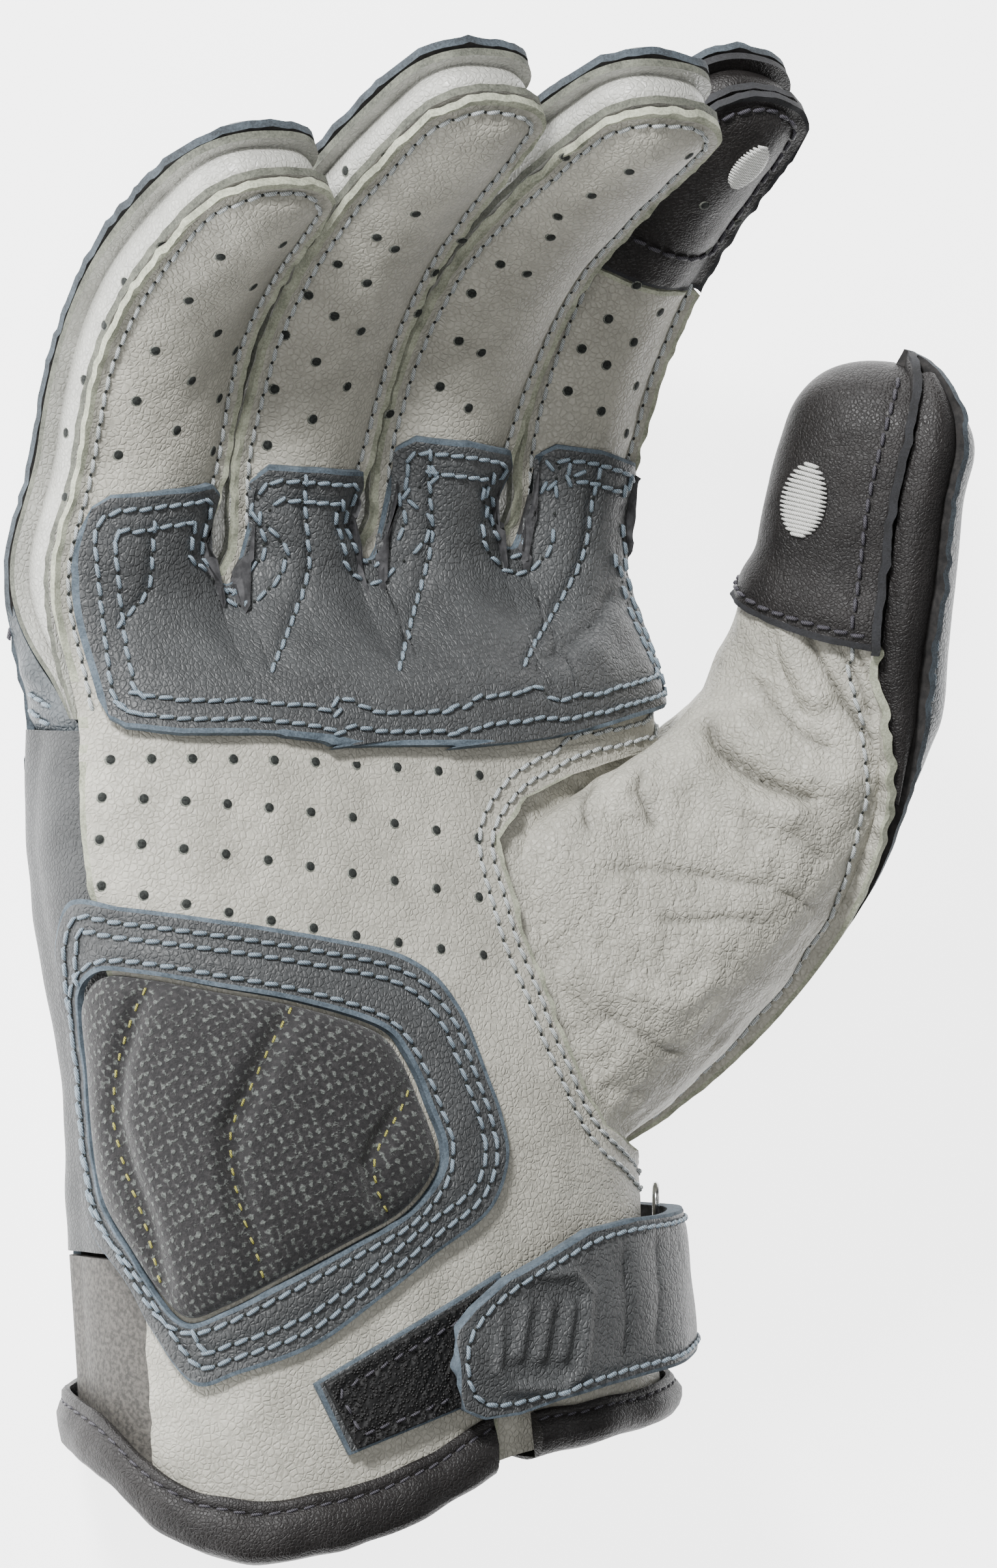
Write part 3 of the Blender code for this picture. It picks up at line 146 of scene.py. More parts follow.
def unit_section(tau):
    """Rounded box section of unit half sizes at angle tau (0 thumb side, 90 deg palm side)."""
    c = (np.cos(tau) - SQUARE * np.cos(3 * tau)) / (1 - SQUARE)
    s = (np.sin(tau) + SQUARE * np.sin(3 * tau)) / (1 - SQUARE)
    return c, s


# palm side of the section: from a share across to the angle round it
_TAU = np.linspace(0.0, math.pi, 721)
_CROSS = unit_section(_TAU)[0][::-1]
_ANGLE = _TAU[::-1]


def palm_base(tau, b):
    """Point of the palm section: centre + half * c and depth + depth * s, kept above the floor."""
    centre, half, depth = section(b)
    c, s = unit_section(tau)
    z = depth + depth * s
    floor = FLATTEN + CUFF_LIFT * (1 - ease((np.asarray(b, float) / PALM_LENGTH - 0.21) / 0.17))
    z = np.where(s < 0, np.maximum(z, floor), z)
    return np.stack(np.broadcast_arrays(centre + half * c, b, z), -1)


def lifted(surface, u, v, h, du, dv):
    """Point of a surface moved along its normal by h."""
    u, v, h = np.broadcast_arrays(np.asarray(u, float), np.asarray(v, float), np.asarray(h, float))
    p = surface(u, v)
    a = surface(u + du, v) - surface(u - du, v)
    b = surface(u, v + dv) - surface(u, v - dv)
    n = np.cross(a, b)
    n /= np.maximum(np.linalg.norm(n, axis=-1, keepdims=True), 1e-12)
    return p + h[..., None] * n


def palm(tau, b, h=0.0):
    """Palm body: angle, level, height above the leather face."""
    return lifted(palm_base, tau, b, -np.asarray(h, float), 1e-3, 1e-4)


class Finger:
    """One finger laid flat (s along, w across, h up), then bent along its spine."""

    def __init__(self, name, row):
        self.name = name
        self.length = row["length"] * FINGER_LENGTH
        self.width = row["width"] * FINGER_WIDTH
        self.root = np.array([row["across"] * PALM_WIDTH, row["along"] * PALM_LENGTH, ROOT_HEIGHT])
        splay = math.radians(row["splay"])
        roll = math.radians(row["roll"])
        self.ahead = np.array([math.sin(splay), math.cos(splay), 0.0])
        up = np.array([math.sin(roll), 0.0, math.cos(roll)])
        up = up - self.ahead * float(up @ self.ahead)
        self.up = up / np.linalg.norm(up)
        self.side = np.cross(self.ahead, self.up)
        share = np.linspace(-0.7, 1.15, 500)
        phi = np.zeros_like(share)
        for at, bend, half in zip(row["at"], row["flex"], (0.22, 0.30, 0.24)):
            phi += math.radians(bend) * ease((share - at + half) / (2 * half))
        self.s = share * self.length
        self.phi = phi
        step = np.diff(self.s)
        mid = (phi[1:] + phi[:-1]) / 2
        self.cx = np.concatenate([[0.0], np.cumsum(np.cos(mid) * step)]) + self.s[0]
        self.cz = np.concatenate([[0.0], np.cumsum(np.sin(mid) * step)])

    def at(self, s, w, h):
        """Point s along the bent middle line, w across it, h out of its palm side."""
        s, w, h = np.broadcast_arrays(np.asarray(s, float), np.asarray(w, float), np.asarray(h, float))
        cx = np.where(s < self.s[0], s, np.interp(s, self.s, self.cx))
        cz = np.interp(s, self.s, self.cz)
        phi = np.interp(s, self.s, self.phi)
        along = cx - np.sin(phi) * h
        up = cz + np.cos(phi) * h
        return (self.root + along[..., None] * self.ahead + up[..., None] * self.up
                + w[..., None] * self.side)

    def half(self, s):
        """Half width: width / 2 * (1 + 0.03 sin(pi t) - 0.13 t^2), t the share along."""
        t = np.clip(s / self.length, 0, 1)
        return self.width / 2 * (1.0 + 0.03 * np.sin(math.pi * t) - 0.13 * t ** 2)

    def band(self, s):
        """Half height of the side band: it loses 24 % towards the tip, with t^2."""
        t = np.clip(s / self.length, 0, 1)
        return FINGER_BAND / 2 * (1.0 - 0.24 * t ** 2)


HAND = {name: Finger(name, FINGERS[name]) for name in NAMES}


CHANNEL_LENGTH = 0.0032    # rounded bottom of the channel between two fingers
ULNAR = 162.0              # palm panel edge on the little finger side, degrees round the section
RADIAL = 3.0               # palm panel edge on the index side
BACK_ULNAR = 204.0         # back panel edge on the little finger side
BLEND = 0.026              # length over which the palm turns into a finger


def table(rows, *names):
    """Columns of a table of rows."""
    return [np.array([row[n] for row in rows], float) for n in range(len(names))]


def knuckle_share(u):
    """Share across the palm face for strip position u (0 ulnar edge .. 4 index edge)."""
    edge = math.radians(ULNAR)
    left = unit_section(np.array(edge))[0]
    right = unit_section(np.array(math.radians(RADIAL)))[0]
    centre, half, _ = section(PALM_LENGTH)
    inner = [(x * PALM_WIDTH - centre) / half for x in CROTCH_ACROSS[1:4]]
    cross = np.interp(u, [0, 1, 2, 3, 4], [left] + inner + [right])
    tau = np.interp(cross, _CROSS, _ANGLE)
    return (edge - tau) / (edge - math.radians(RADIAL))


# Thumb edge of the palm panel: share of the palm length, degrees round the section.
PALM_EDGE = (
    # along, angle
    (-0.10, -8.0), (0.374, -8.0), (0.379, 1.0), (0.383, 10.0), (0.387, 19.0), (0.392, 28.0),
    (0.400, 38.0), (0.427, 54.0), (0.463, 61.0), (0.533, 69.0), (0.617, 76.0), (0.703, 80.0),
    (0.743, 74.0), (0.765, 64.0), (0.777, 54.0), (0.785, 44.0), (0.789, 34.0), (0.793, 24.0),
    (0.799, 13.0), (0.808, 5.0), (0.818, 3.0), (1.5, 3.0),
)
# Thumb edge of the back panel.
BACK_EDGE = (
    (-0.10, 350.6), (0.380, 350.6), (0.393, 343.0), (0.42, 330.0), (0.50, 308.0), (0.60, 298.0),
    (0.70, 300.0), (0.77, 318.0), (0.787, 331.0), (0.80, 342.0), (0.815, 350.0), (0.86, 352.0), (0.93, 349.0),
    (0.98, 343.0), (1.02, 338.0), (1.5, 338.0),
)


def front_tau(u, b):
    """Angle of the palm panel: a share of the way from its little finger edge to PALM_EDGE."""
    along, angle = table(PALM_EDGE, "along", "angle")
    right = np.radians(np.interp(b / PALM_LENGTH, along, angle))
    left = math.radians(ULNAR)
    return left + (right - left) * knuckle_share(u)


def back_side(b):
    """Little finger edge of the back panel: it runs farther round below the gusset."""
    return np.radians(BACK_ULNAR + 11 * (1 - ease((b / PALM_LENGTH - 0.70) / 0.11)))


def back_tau(u, b):
    """Angle of the back panel: a share of the way from back_side to BACK_EDGE."""
    along, angle = table(BACK_EDGE, "along", "angle")
    right = np.radians(np.interp(b / PALM_LENGTH, along, angle))
    return back_side(b) + (right - back_side(b)) * knuckle_share(u)


def crotch_level(u):
    """Level where the strips end, straight from crotch to crotch."""
    return np.interp(u, [0, 1, 2, 3, 4], CROTCH_ALONG) * PALM_LENGTH


def tip_reach(finger, q):
    """How far along the finger its rounded tip reaches at share q across."""
    r = finger.half(finger.length) * 1.05
    return finger.length - r * (1 - (1 - np.abs(q) ** 2.5) ** 0.4)


def strip_width(i, finger, q, s):
    """Across position at share q, narrowed to the channels beside the root."""
    out = ease(s / 0.017)
    half = finger.half(s)
    edge = []
    for k, sign in ((i, -1), (i + 1, 1)):
        root = CROTCH_ACROSS[k] * PALM_WIDTH - finger.root[0] - s * finger.ahead[0]
        if 0 < k < 4:
            start = CROTCH_ALONG[k] * PALM_LENGTH - finger.root[1]
            open_ = CROTCH_GAP / 2 * np.sqrt(np.clip((s - start) / CHANNEL_LENGTH, 0, 1))
            root = root - sign * open_
        edge.append(root * (1 - out) + sign * half * out)
    return edge[0] + (q + 1) / 2 * (edge[1] - edge[0]), (edge[1] - edge[0]) / 2


def finger_sheet(i, q, s, face):
    """Front (face 1) or back (face -1) panel of finger i, with flat seam edges."""
    finger = HAND[NAMES[i]]
    w, half = strip_width(i, finger, q, s)
    side = np.clip((half * (1 - np.abs(q)) - SEAM_EDGE) / (half - SEAM_EDGE), 0, 1)
    end = np.clip((tip_reach(finger, q) - s - SEAM_EDGE) / (half * 0.9), 0, 1)
    swell = FINGER_CROWN * (1 - (1 - side) ** 2) * np.sqrt(1 - (1 - end) ** 2)
    if face < 0:
        swell = swell * 1.25
    return finger.at(s, w, face * (finger.band(s) + swell))


def strip_raw(i, q, b, face):
    """Strip i as palm * (1 - m) + finger * m, where m eases from 0 to 1 over BLEND."""
    finger = HAND[NAMES[i]]
    s = b - finger.root[1]
    m = ease((s + BLEND) / BLEND)[..., None]
    u = i + (q + 1) / 2
    tau = front_tau(u, b) if face > 0 else back_tau(u, b)
    return palm_base(tau, b) * (1 - m) + finger_sheet(i, q, s, face) * m


def strip_surface(i, q, b, face):
    """Panel surface of strip i, met with its neighbours up to the finger roots."""
    q, b = np.broadcast_arrays(np.asarray(q, float), np.asarray(b, float))
    p = strip_raw(i, q, b, face)
    for k, sign in ((i, -1.0), (i + 1, 1.0)):
        if not 0 < k < 4:
            continue
        other = k - 1 if sign < 0 else k
        level = CROTCH_ALONG[k] * PALM_LENGTH
        hold = 1 - ease((b - level) / 0.008)
        bb = np.minimum(b, level)
        mine = strip_raw(i, sign + 0 * b, bb, face)
        theirs = strip_raw(other, -sign + 0 * b, bb, face)
        near = np.clip((q * sign + 0.4) / 1.4, 0, 1) ** 2
        p = p + (theirs - mine) * (0.5 * near * hold)[..., None]
    return p


def sheet(u, b, face, h=0.0, strip=None):
    """Front or back panel point at strip position u and level b, lifted by h."""
    u, b, h = np.broadcast_arrays(np.asarray(u, float), np.asarray(b, float), np.asarray(h, float))
    if strip is None:
        strip = np.clip(np.floor(u), 0, 3).astype(int)
    strip = np.broadcast_to(strip, u.shape)
    out = np.zeros(u.shape + (3,))
    for i in range(4):
        mask = strip == i
        if not mask.any():
            continue
        q = 2 * (u[mask] - i) - 1
        bb = b[mask]
        p = strip_surface(i, q, bb, face)
        e = 0.02
        dq = (strip_surface(i, np.minimum(q + e, 1), bb, face)
              - strip_surface(i, np.maximum(q - e, -1), bb, face))
        db = strip_surface(i, q, bb + 2e-4, face) - strip_surface(i, q, bb - 2e-4, face)
        n = np.cross(dq, db) * face
        n /= np.maximum(np.linalg.norm(n, axis=-1, keepdims=True), 1e-12)
        out[mask] = p + h[mask][..., None] * n
    return out


def cuff_edge(tau):
    """Level of the cuff edge round the wrist, lowest under the heel of the hand."""
    deg = np.degrees(tau) % 360.0
    knots = (0, 45, 70, 89, 104, 118, 135, 155, 177, 205, 270, 330, 360)
    share = (0.160, 0.143, 0.127, 0.105, 0.063, 0.040, 0.030, 0.050, 0.105, 0.13, 0.14, 0.155, 0.160)
    return curve(knots, share, deg) * PALM_LENGTH


def tip_row(finger, base, reach, v):
    """Level of panel row v: straight across the finger, following the tip only near its end."""
    shoulder = finger.root[1] + tip_reach(finger, 1.0)
    return base + (shoulder - base) * v + (reach - shoulder) * v ** 5


# Side band on the free edges: how far it runs down the palm, and its back seam there.
BAND_SEAM = (
    # along, little finger side angle, index side angle
    (0.80, 164.0, 354.0), (0.86, 169.0, 352.0), (0.93, 177.0, 349.0), (0.98, 190.0, 343.0),
    (1.02, 204.0, 338.0), (1.20, 204.0, 338.0),
)


def free_edge(i, b, face):
    """Seam of the little finger's or index finger's outer edge, running on into the palm."""
    q = -1.0 if i == 0 else 1.0
    finger = HAND[NAMES[i]]
    s = b - finger.root[1]
    m = ease((s + BLEND) / BLEND)[..., None]
    along, little, index = table(BAND_SEAM, "along", "little", "index")
    if face > 0:
        tau = front_tau(np.full_like(b, 0.0 if i == 0 else 4.0), b)
    else:
        tau = np.radians(np.interp(b / PALM_LENGTH, along, little if i == 0 else index))
    return palm_base(tau, b) * (1 - m) + finger_sheet(i, q + 0 * b, s, face) * m


def band_path(i, fine=4):
    """Both seam lines of one finger, from its little finger side round the tip to the other."""
    finger = HAND[NAMES[i]]
    length = finger.length
    bend = length - finger.half(length) * 1.05
    lines = []
    for face in (1, -1):
        parts, shares = [], []
        for side in (-1, 1):
            k = i if side < 0 else i + 1
            if 0 < k < 4:
                start = CROTCH_ALONG[k] * PALM_LENGTH - finger.root[1]
                s = start + np.array([0.00004, 0.0004, 0.0014, 0.0032])
                s = np.concatenate([s, np.linspace(s[-1], bend, 9 * fine)[1:]])
                p = strip_surface(i, side + 0 * s, s + finger.root[1], face)
            else:
                low = np.linspace(0.818 if i == 0 else 0.835, 1.0, 6 * fine) * PALM_LENGTH
                s = np.concatenate([low - finger.root[1], np.linspace(0.009, bend, 9 * fine)])
                p = free_edge(i, s + finger.root[1], face)
            parts.append(p)
            shares.append(s / length)
        q = np.sin(np.linspace(-1.0, 1.0, 6 * fine + 1)[1:-1] * math.pi / 2)
        tip = finger_sheet(i, q, tip_reach(finger, q), face)
        lines.append(np.concatenate([parts[0], tip, parts[1][::-1]]))
        share = np.concatenate([shares[0], np.ones(len(q)), shares[1][::-1]])
    return lines[0], lines[1], share, len(q)


# Thumb: spine stations from the ball of the thumb to the tip.
THUMB_SPINE = (
    # across, along, height (shares of palm width, palm length, palm width), width, depth (shares)
    (0.46, 0.52, 0.27, 1.50, 1.45),
    (0.590, 0.73, 0.40, 1.42, 1.36),
    (0.645, 0.85, 0.445, 1.25, 1.16),
    (0.642, 0.95, 0.50, 1.10, 1.00),
    (0.644, 1.05, 0.535, 1.04, 0.94),
    (0.670, 1.165, 0.575, 0.97, 0.86),
)
THUMB_WIDTH = 0.0275
THUMB_DEPTH = 0.0245
THUMB_PAD = (-0.80, 0.0, 0.60)     # direction the thumb pad faces
# Seam of the ball of the thumb on the palm body, once round the thumb.
THUMB_BASE = (
    # round the thumb, angle round the palm, along the palm
    (0.0, -8.0, 0.396), (25.0, 14.0, 0.386), (45.0, 38.0, 0.397), (65.0, 56.0, 0.436),
    (85.0, 67.5, 0.525), (100.0, 75.0, 0.610), (115.0, 79.5, 0.700), (130.0, 72.0, 0.750),
    (145.0, 56.0, 0.776), (162.0, 28.0, 0.793), (180.0, 1.0, 0.812), (205.0, -24.0, 0.796),
    (235.0, -50.0, 0.750), (265.0, -60.0, 0.650), (290.0, -60.0, 0.560), (315.0, -48.0, 0.470),
    (338.0, -28.0, 0.415), (360.0, -8.0, 0.396),
)
THUMB_JOIN = 0.40          # share along the spine where the ball has become the thumb
# Seams down the outer side of the thumb: along the piece, front seam, back seam, degrees.
THUMB_SEAMS = (
    (0.0, 14.0, 8.0), (0.25, 13.0, 6.0), (0.40, 29.0, 20.0), (0.50, 49.0, 25.0), (0.58, 58.0, 28.0),
    (0.72, 61.0, 26.0), (1.0, 62.0, 26.0),
)
THUMB_INNER = 212.0        # where front and back meet on the finger side
THUMB_MIDDLE = (14.0, 0.60)   # middle of the opening: angle round the palm, share along


def thumb_spine(t):
    """Middle, half width and half depth of the free thumb at t: curves through THUMB_SPINE."""
    columns = table(THUMB_SPINE, "x", "y", "z", "w", "d")
    k = np.linspace(0, 1, len(THUMB_SPINE))
    p = np.stack([curve(k, columns[0] * PALM_WIDTH, t), curve(k, columns[1] * PALM_LENGTH, t),
                  curve(k, columns[2] * PALM_WIDTH, t)], -1)
    w = curve(k, columns[3], t) * THUMB_WIDTH / 2
    d = curve(k, columns[4], t) * THUMB_DEPTH / 2
    return p, w, d


def thumb_frame(t):
    """Directions along the thumb (slope of the spine), towards its pad, and across (their product)."""
    ahead = thumb_spine(t + 0.01)[0] - thumb_spine(t - 0.01)[0]
    ahead /= np.linalg.norm(ahead, axis=-1, keepdims=True)
    pad = np.array(THUMB_PAD)
    pad = pad - ahead * (ahead @ pad)[..., None]
    pad /= np.linalg.norm(pad, axis=-1, keepdims=True)
    return ahead, pad, np.cross(ahead, pad)


def thumb_tube(psi, t):
    """Section of the free thumb: rounded, closed to a blunt dome at the tip."""
    p, w, d = thumb_spine(np.clip(t, 0, 1))
    ahead, pad, side = thumb_frame(np.clip(t, 0.02, 0.98))
    over = np.clip((t - 0.86) / 0.14, 0, 1)
    close = np.sqrt(np.maximum(1 - over ** 2.4, 0.0))
    c, s = unit_section(psi)
    return p + side * (w * close * c)[..., None] + pad * (d * close * s)[..., None]


def thumb_root(psi, depth=0.0, size=0.93):
    """Point of the base seam, drawn in or out about the middle of the opening."""
    deg = np.degrees(psi)
    turn, angle, along = table(THUMB_BASE, "turn", "angle", "along")
    tau = curve(turn, angle, deg)
    level = curve(turn, along, deg)
    size = size - 0.004 - 0.028 * np.clip(-np.cos(psi), 0, 1) ** 2 - 0.022 * np.clip(np.cos(psi - 0.3), 0, 1)
    tau = np.radians(THUMB_MIDDLE[0] + (tau - THUMB_MIDDLE[0]) * size)
    b = (THUMB_MIDDLE[1] + (level - THUMB_MIDDLE[1]) * size) * PALM_LENGTH
    return palm(tau, b, depth)


def thumb_base(psi, v):
    """Ball of the thumb (v below 0.5) blended into the free thumb (v up to 1)."""
    psi, v = np.broadcast_arrays(np.asarray(psi, float), np.asarray(v, float))
    psi = np.mod(psi, 2 * math.pi)
    t = THUMB_JOIN + (v - 0.5) / 0.5 * (1 - THUMB_JOIN)
    free = thumb_tube(psi, np.maximum(t, THUMB_JOIN))
    end = thumb_tube(psi, np.full_like(psi, THUMB_JOIN))
    ahead = thumb_frame(np.full_like(psi, THUMB_JOIN))[0]
    root = thumb_root(psi, -UNDER - 0.0004)
    inner = thumb_root(psi, -UNDER - 0.0014)
    up = root - inner
    up /= np.linalg.norm(up, axis=-1, keepdims=True)
    span = end - root
    reach = np.linalg.norm(span, axis=-1, keepdims=True)
    flat = span - up * np.sum(span * up, -1, keepdims=True)
    flat /= np.maximum(np.linalg.norm(flat, axis=-1, keepdims=True), 1e-9)
    f = np.clip(v / 0.5, 0, 1)[..., None]
    front = np.clip(np.sin(psi), 0, 1)[..., None]
    outer = np.clip(np.cos(psi), 0, 1)[..., None]
    web = np.clip(-np.cos(psi), 0, 1)[..., None] ** 2
    leave = (flat * (0.8 - 0.3 * web) + up * (0.25 + 0.35 * front + 0.75 * outer ** 2 + 0.5 * web)) * reach
    join = ahead * reach * 0.8
    ball = ((2 * f ** 3 - 3 * f ** 2 + 1) * root + (f ** 3 - 2 * f ** 2 + f) * leave
            + (-2 * f ** 3 + 3 * f ** 2) * end + (f ** 3 - f ** 2) * join)
    return np.where((v < 0.5)[..., None], ball, free)


def thumb(psi, v, h=0.0):
    """Thumb leather: angle round it, share from base seam to tip, height above the face."""
    psi, v, h = np.broadcast_arrays(np.asarray(psi, float), np.asarray(v, float), np.asarray(h, float))
    return lifted(thumb_base, psi, np.minimum(v, 0.9985), -h, 2e-3, 2e-3)


# ---- where the photograph was taken from ----
ORIGIN = np.array([0.01691, 0.11085, FLATTEN])     # working point that is the frame's origin
TILT = math.radians(35.0)                          # camera leans towards the little finger side
TOWARDS = np.array([-math.sin(TILT), 0.0, math.cos(TILT)])
RIGHT = np.array([math.cos(TILT), 0.0, math.sin(TILT)])
UP = np.array([0.0, 1.0, 0.0])
TARGET = np.array([0.0305, 0.1134, 0.019])
DISTANCE = 1.3
FOCAL = 13520.0                                    # pixels
MIDDLE = (765.5, 1204.0)
PHOTO_HEIGHT = 2408                                # pixels


def seen(points):
    """Photograph pixel of each point: perspective division by the depth before the camera."""
    r = np.asarray(points, float) - TARGET
    depth = DISTANCE - r @ TOWARDS
    return MIDDLE[0] + FOCAL * (r @ RIGHT) / depth, MIDDLE[1] - FOCAL * (r @ UP) / depth


def grid(rows, columns, closed=False, start=0):
    """Corner numbers of the quads of a grid, wrapped round when closed."""
    r = np.arange(rows - 1)[:, None]
    c = np.arange(columns if closed else columns - 1)[None, :]
    d = (c + 1) % columns
    return start + np.stack([r * columns + c, r * columns + d, (r + 1) * columns + d, (r + 1) * columns + c],
                            -1).reshape(-1, 4)


def unit(v):
    """Vectors divided by their lengths."""
    return v / np.maximum(np.linalg.norm(v, axis=-1, keepdims=True), 1e-12)


def face_normals(points, faces):
    """Unit normal at each point: mean of the cross products of its faces' diagonals."""
    n = np.cross(points[faces[:, 2]] - points[faces[:, 0]], points[faces[:, 3]] - points[faces[:, 1]])
    out = np.zeros_like(points)
    for k in range(4):
        np.add.at(out, faces[:, k], n)
    return unit(out)


def open_edges(faces, count):
    """Directed edges that no neighbour shares."""
    a = faces.reshape(-1)
    b = np.roll(faces, -1, axis=1).reshape(-1)
    keep = (a != b) & ~np.isin(a.astype(np.int64) * count + b, b.astype(np.int64) * count + a)
    return a[keep], b[keep]


PAINTED_SHADE_RELIEFS = []                                      # reliefs whose dips also get painted shade in the colour
DARKEST = 0.0009                                   # depth of a crease at full painted shade
FRILL = ((0.0042, 1.0, 21), (0.0018, 0.3, 22))     # waves of a cut edge: size, share of height, seed


class Sheet:
    """Outer face of a piece: points pushed along their normals by the sum of the reliefs."""

    def __init__(self, points, outward, faces, *reliefs, round_edge=0.0, frill=0.0):
        points = points.reshape(-1, 3)
        normal = face_normals(points, faces)
        if np.sum(normal * outward.reshape(-1, 3)) < 0:
            faces, normal = faces[:, ::-1], -normal
        height = np.zeros(len(points))
        self.crease_shade = np.zeros(len(points))
        for relief in reliefs:
            rise = relief(points, normal)
            height += rise
            # painted shade: the dips of these reliefs are kept as a mask that darkens the colour
            if relief in PAINTED_SHADE_RELIEFS:
                self.crease_shade = np.maximum(self.crease_shade, np.clip(-rise / DARKEST, 0, 1))
        edge = np.unique(np.concatenate(open_edges(faces, len(points))))
        if frill:
            near = np.clip(1 - distances(points, points[edge]) / SEAM_EDGE, 0, 1) ** 1.5
            for size, share, seed in FRILL:
                height += near * ripple(size, frill * share, seed)(points, normal)
        self.pressed, self.frayed = [], bool(frill or round_edge)
        self.base_normal = normal
        self.points = points + normal * height[:, None]
        self.points[edge] -= normal[edge] * round_edge
        self.normal = face_normals(self.points, faces)
        self.faces = faces
        self.tree = BVHTree.FromPolygons(self.points.tolist(), faces.tolist())

    def press(self, depth=0.00022, width=0.0008):
        """Sink the sheet along its rows of stitches: a bell shaped groove."""
        if self.pressed:
            far = distances(self.points, np.concatenate(self.pressed))
            self.points = self.points - self.base_normal * (depth * np.exp(-(far / width) ** 2))[:, None]


def distances(points, others):
    """Distance from each point to the nearest of some others."""
    tree = KDTree(len(others))
    for k, p in enumerate(others):
        tree.insert(p, k)
    tree.balance()
    return np.array([tree.find(p)[2] for p in points])


def surface_sheet(surface, U, V, *reliefs, h=0.0, closed=False, round_edge=0.0, frill=0.0):
    """Sheet of a surface function over a grid of its two parameters, h above it."""
    points = surface(U, V, h)
    outward = surface(U, V, h + 1e-4) - points
    return Sheet(points, outward, grid(*U.shape, closed=closed), *reliefs, round_edge=round_edge, frill=frill)


def pin(pixels, *sheets, lift=0.0):
    """Points and normals where the photograph's lines of sight first meet the sheets."""
    eye = TARGET + TOWARDS * DISTANCE
    points, normals = [], []
    for x, y in pixels:
        ray = RIGHT * (x - MIDDLE[0]) / FOCAL - UP * (y - MIDDLE[1]) / FOCAL - TOWARDS
        hits = [s.tree.ray_cast(Vector(eye), Vector(ray).normalized(), 3.0) for s in sheets]
        hits = [h for h in hits if h[0] is not None]
        if hits:
            hit = min(hits, key=lambda h: h[3])
            n = np.array(hit[1])
            n = n if n @ TOWARDS > 0 else -n
            points.append(np.array(hit[0]) + n * lift)
            normals.append(n)
    return np.array(points).reshape(-1, 3), np.array(normals).reshape(-1, 3)


def snap(points, normal, *sheets, reach=0.004):
    """Points dropped along their normals onto the topmost sheet, with that sheet's normals."""
    out, normals = [], []
    for p, n in zip(points, normal):
        hits = [s.tree.ray_cast(Vector(p + n * reach), Vector(-n), 2.5 * reach) for s in sheets]
        hits = [h for h in hits if h[0] is not None]
        if hits:
            hit = min(hits, key=lambda h: h[3])
            m = np.array(hit[1])
            out.append(np.array(hit[0]))
            normals.append(m if m @ n > 0 else -m)
    return np.array(out).reshape(-1, 3), np.array(normals).reshape(-1, 3)


def nearest_normals(points, sheet):
    """Mean normal of the sheet's nearest face at each point."""
    out = []
    for p in points:
        index = sheet.tree.find_nearest(Vector(p))[2]
        out.append(sheet.normal[sheet.faces[index]].mean(0))
    return unit(np.array(out))


def resample(path, pitch, start=0.5):
    """Points at equal steps along a path, and the unit direction there."""
    run = np.concatenate([[0.0], np.cumsum(np.linalg.norm(np.diff(path, axis=0), axis=1))])
    count = max(int(round(run[-1] / pitch)), 1)
    at = (np.arange(count) + start) * run[-1] / count
    p = np.stack([np.interp(at, run, path[:, k]) for k in range(3)], -1)
    past = at + pitch * 0.4
    before = at - pitch * 0.4
    ahead = np.stack([np.interp(past, run, column) - np.interp(before, run, column) for column in path.T], -1)
    return p, unit(ahead)


def smooth(path, times=2):
    """Path whose inner points become (before + 2 * here + after) / 4, some times over."""
    path = path.copy()
    for _ in range(times):
        path[1:-1] = (path[:-2] + 2 * path[1:-1] + path[2:]) / 4
    return path


def beside(path, sheet, distance):
    """Line beside a path in its sheet: moved sideways, without the points left nearer than that."""
    path = smooth(resample(path, 0.0008)[0], 7)
    normal = nearest_normals(path, sheet)
    side = unit(np.cross(normal, np.gradient(path, axis=0)))
    moved = path + side * distance
    gap = np.sqrt(((moved[:, None] - path[None]) ** 2).sum(-1)).min(1)
    keep = gap > 0.93 * abs(distance)
    return moved[keep], normal[keep]


# ---- reliefs: each returns a function of points and normals that gives heights in metres ----


def distance_to(x, y, line):
    """Distance in pixels to a broken line, and the share of its length at the nearest point."""
    line = np.array(line, float)
    step = np.hypot(*(line[1:] - line[:-1]).T)
    run = np.concatenate([[0.0], np.cumsum(step)])
    best = np.full(np.shape(x), 1e9)
    share = np.zeros(np.shape(x))
    for (x0, y0), (x1, y1), start, length in zip(line[:-1], line[1:], run, step):
        t = np.clip(((x - x0) * (x1 - x0) + (y - y0) * (y1 - y0)) / length ** 2, 0, 1)
        d = np.hypot(x - x0 - t * (x1 - x0), y - y0 - t * (y1 - y0))
        share = np.where(d < best, (start + t * length) / run[-1], share)
        best = np.minimum(d, best)
    return best, share


def folds(*rows):
    """Folds seen in the photograph: (height mm, width px, line). Ridges are bell shaped, creases
    are sharp at the bottom, and both fade towards their ends."""
    def fold(points, normal):
        """Sum of height * shape(distance) * fade(share), where the leather faces the camera."""
        x, y = seen(points)
        total = np.zeros(len(points))
        facing = np.clip(normal @ TOWARDS * 4, 0, 1)
        for height, width, line in rows:
            d, share = distance_to(x, y, line)
            fade = ease(share / 0.18) * ease((1 - share) / 0.18)
            shape = np.exp(-(d / width) ** 2) if height > 0 else np.exp(-np.abs(d) / width * 1.3)
            total += height * 1e-3 * shape * fade
        return total * facing
    # the dips of these folds also get painted shade in the leather's colour
    PAINTED_SHADE_RELIEFS.append(fold)
    return fold


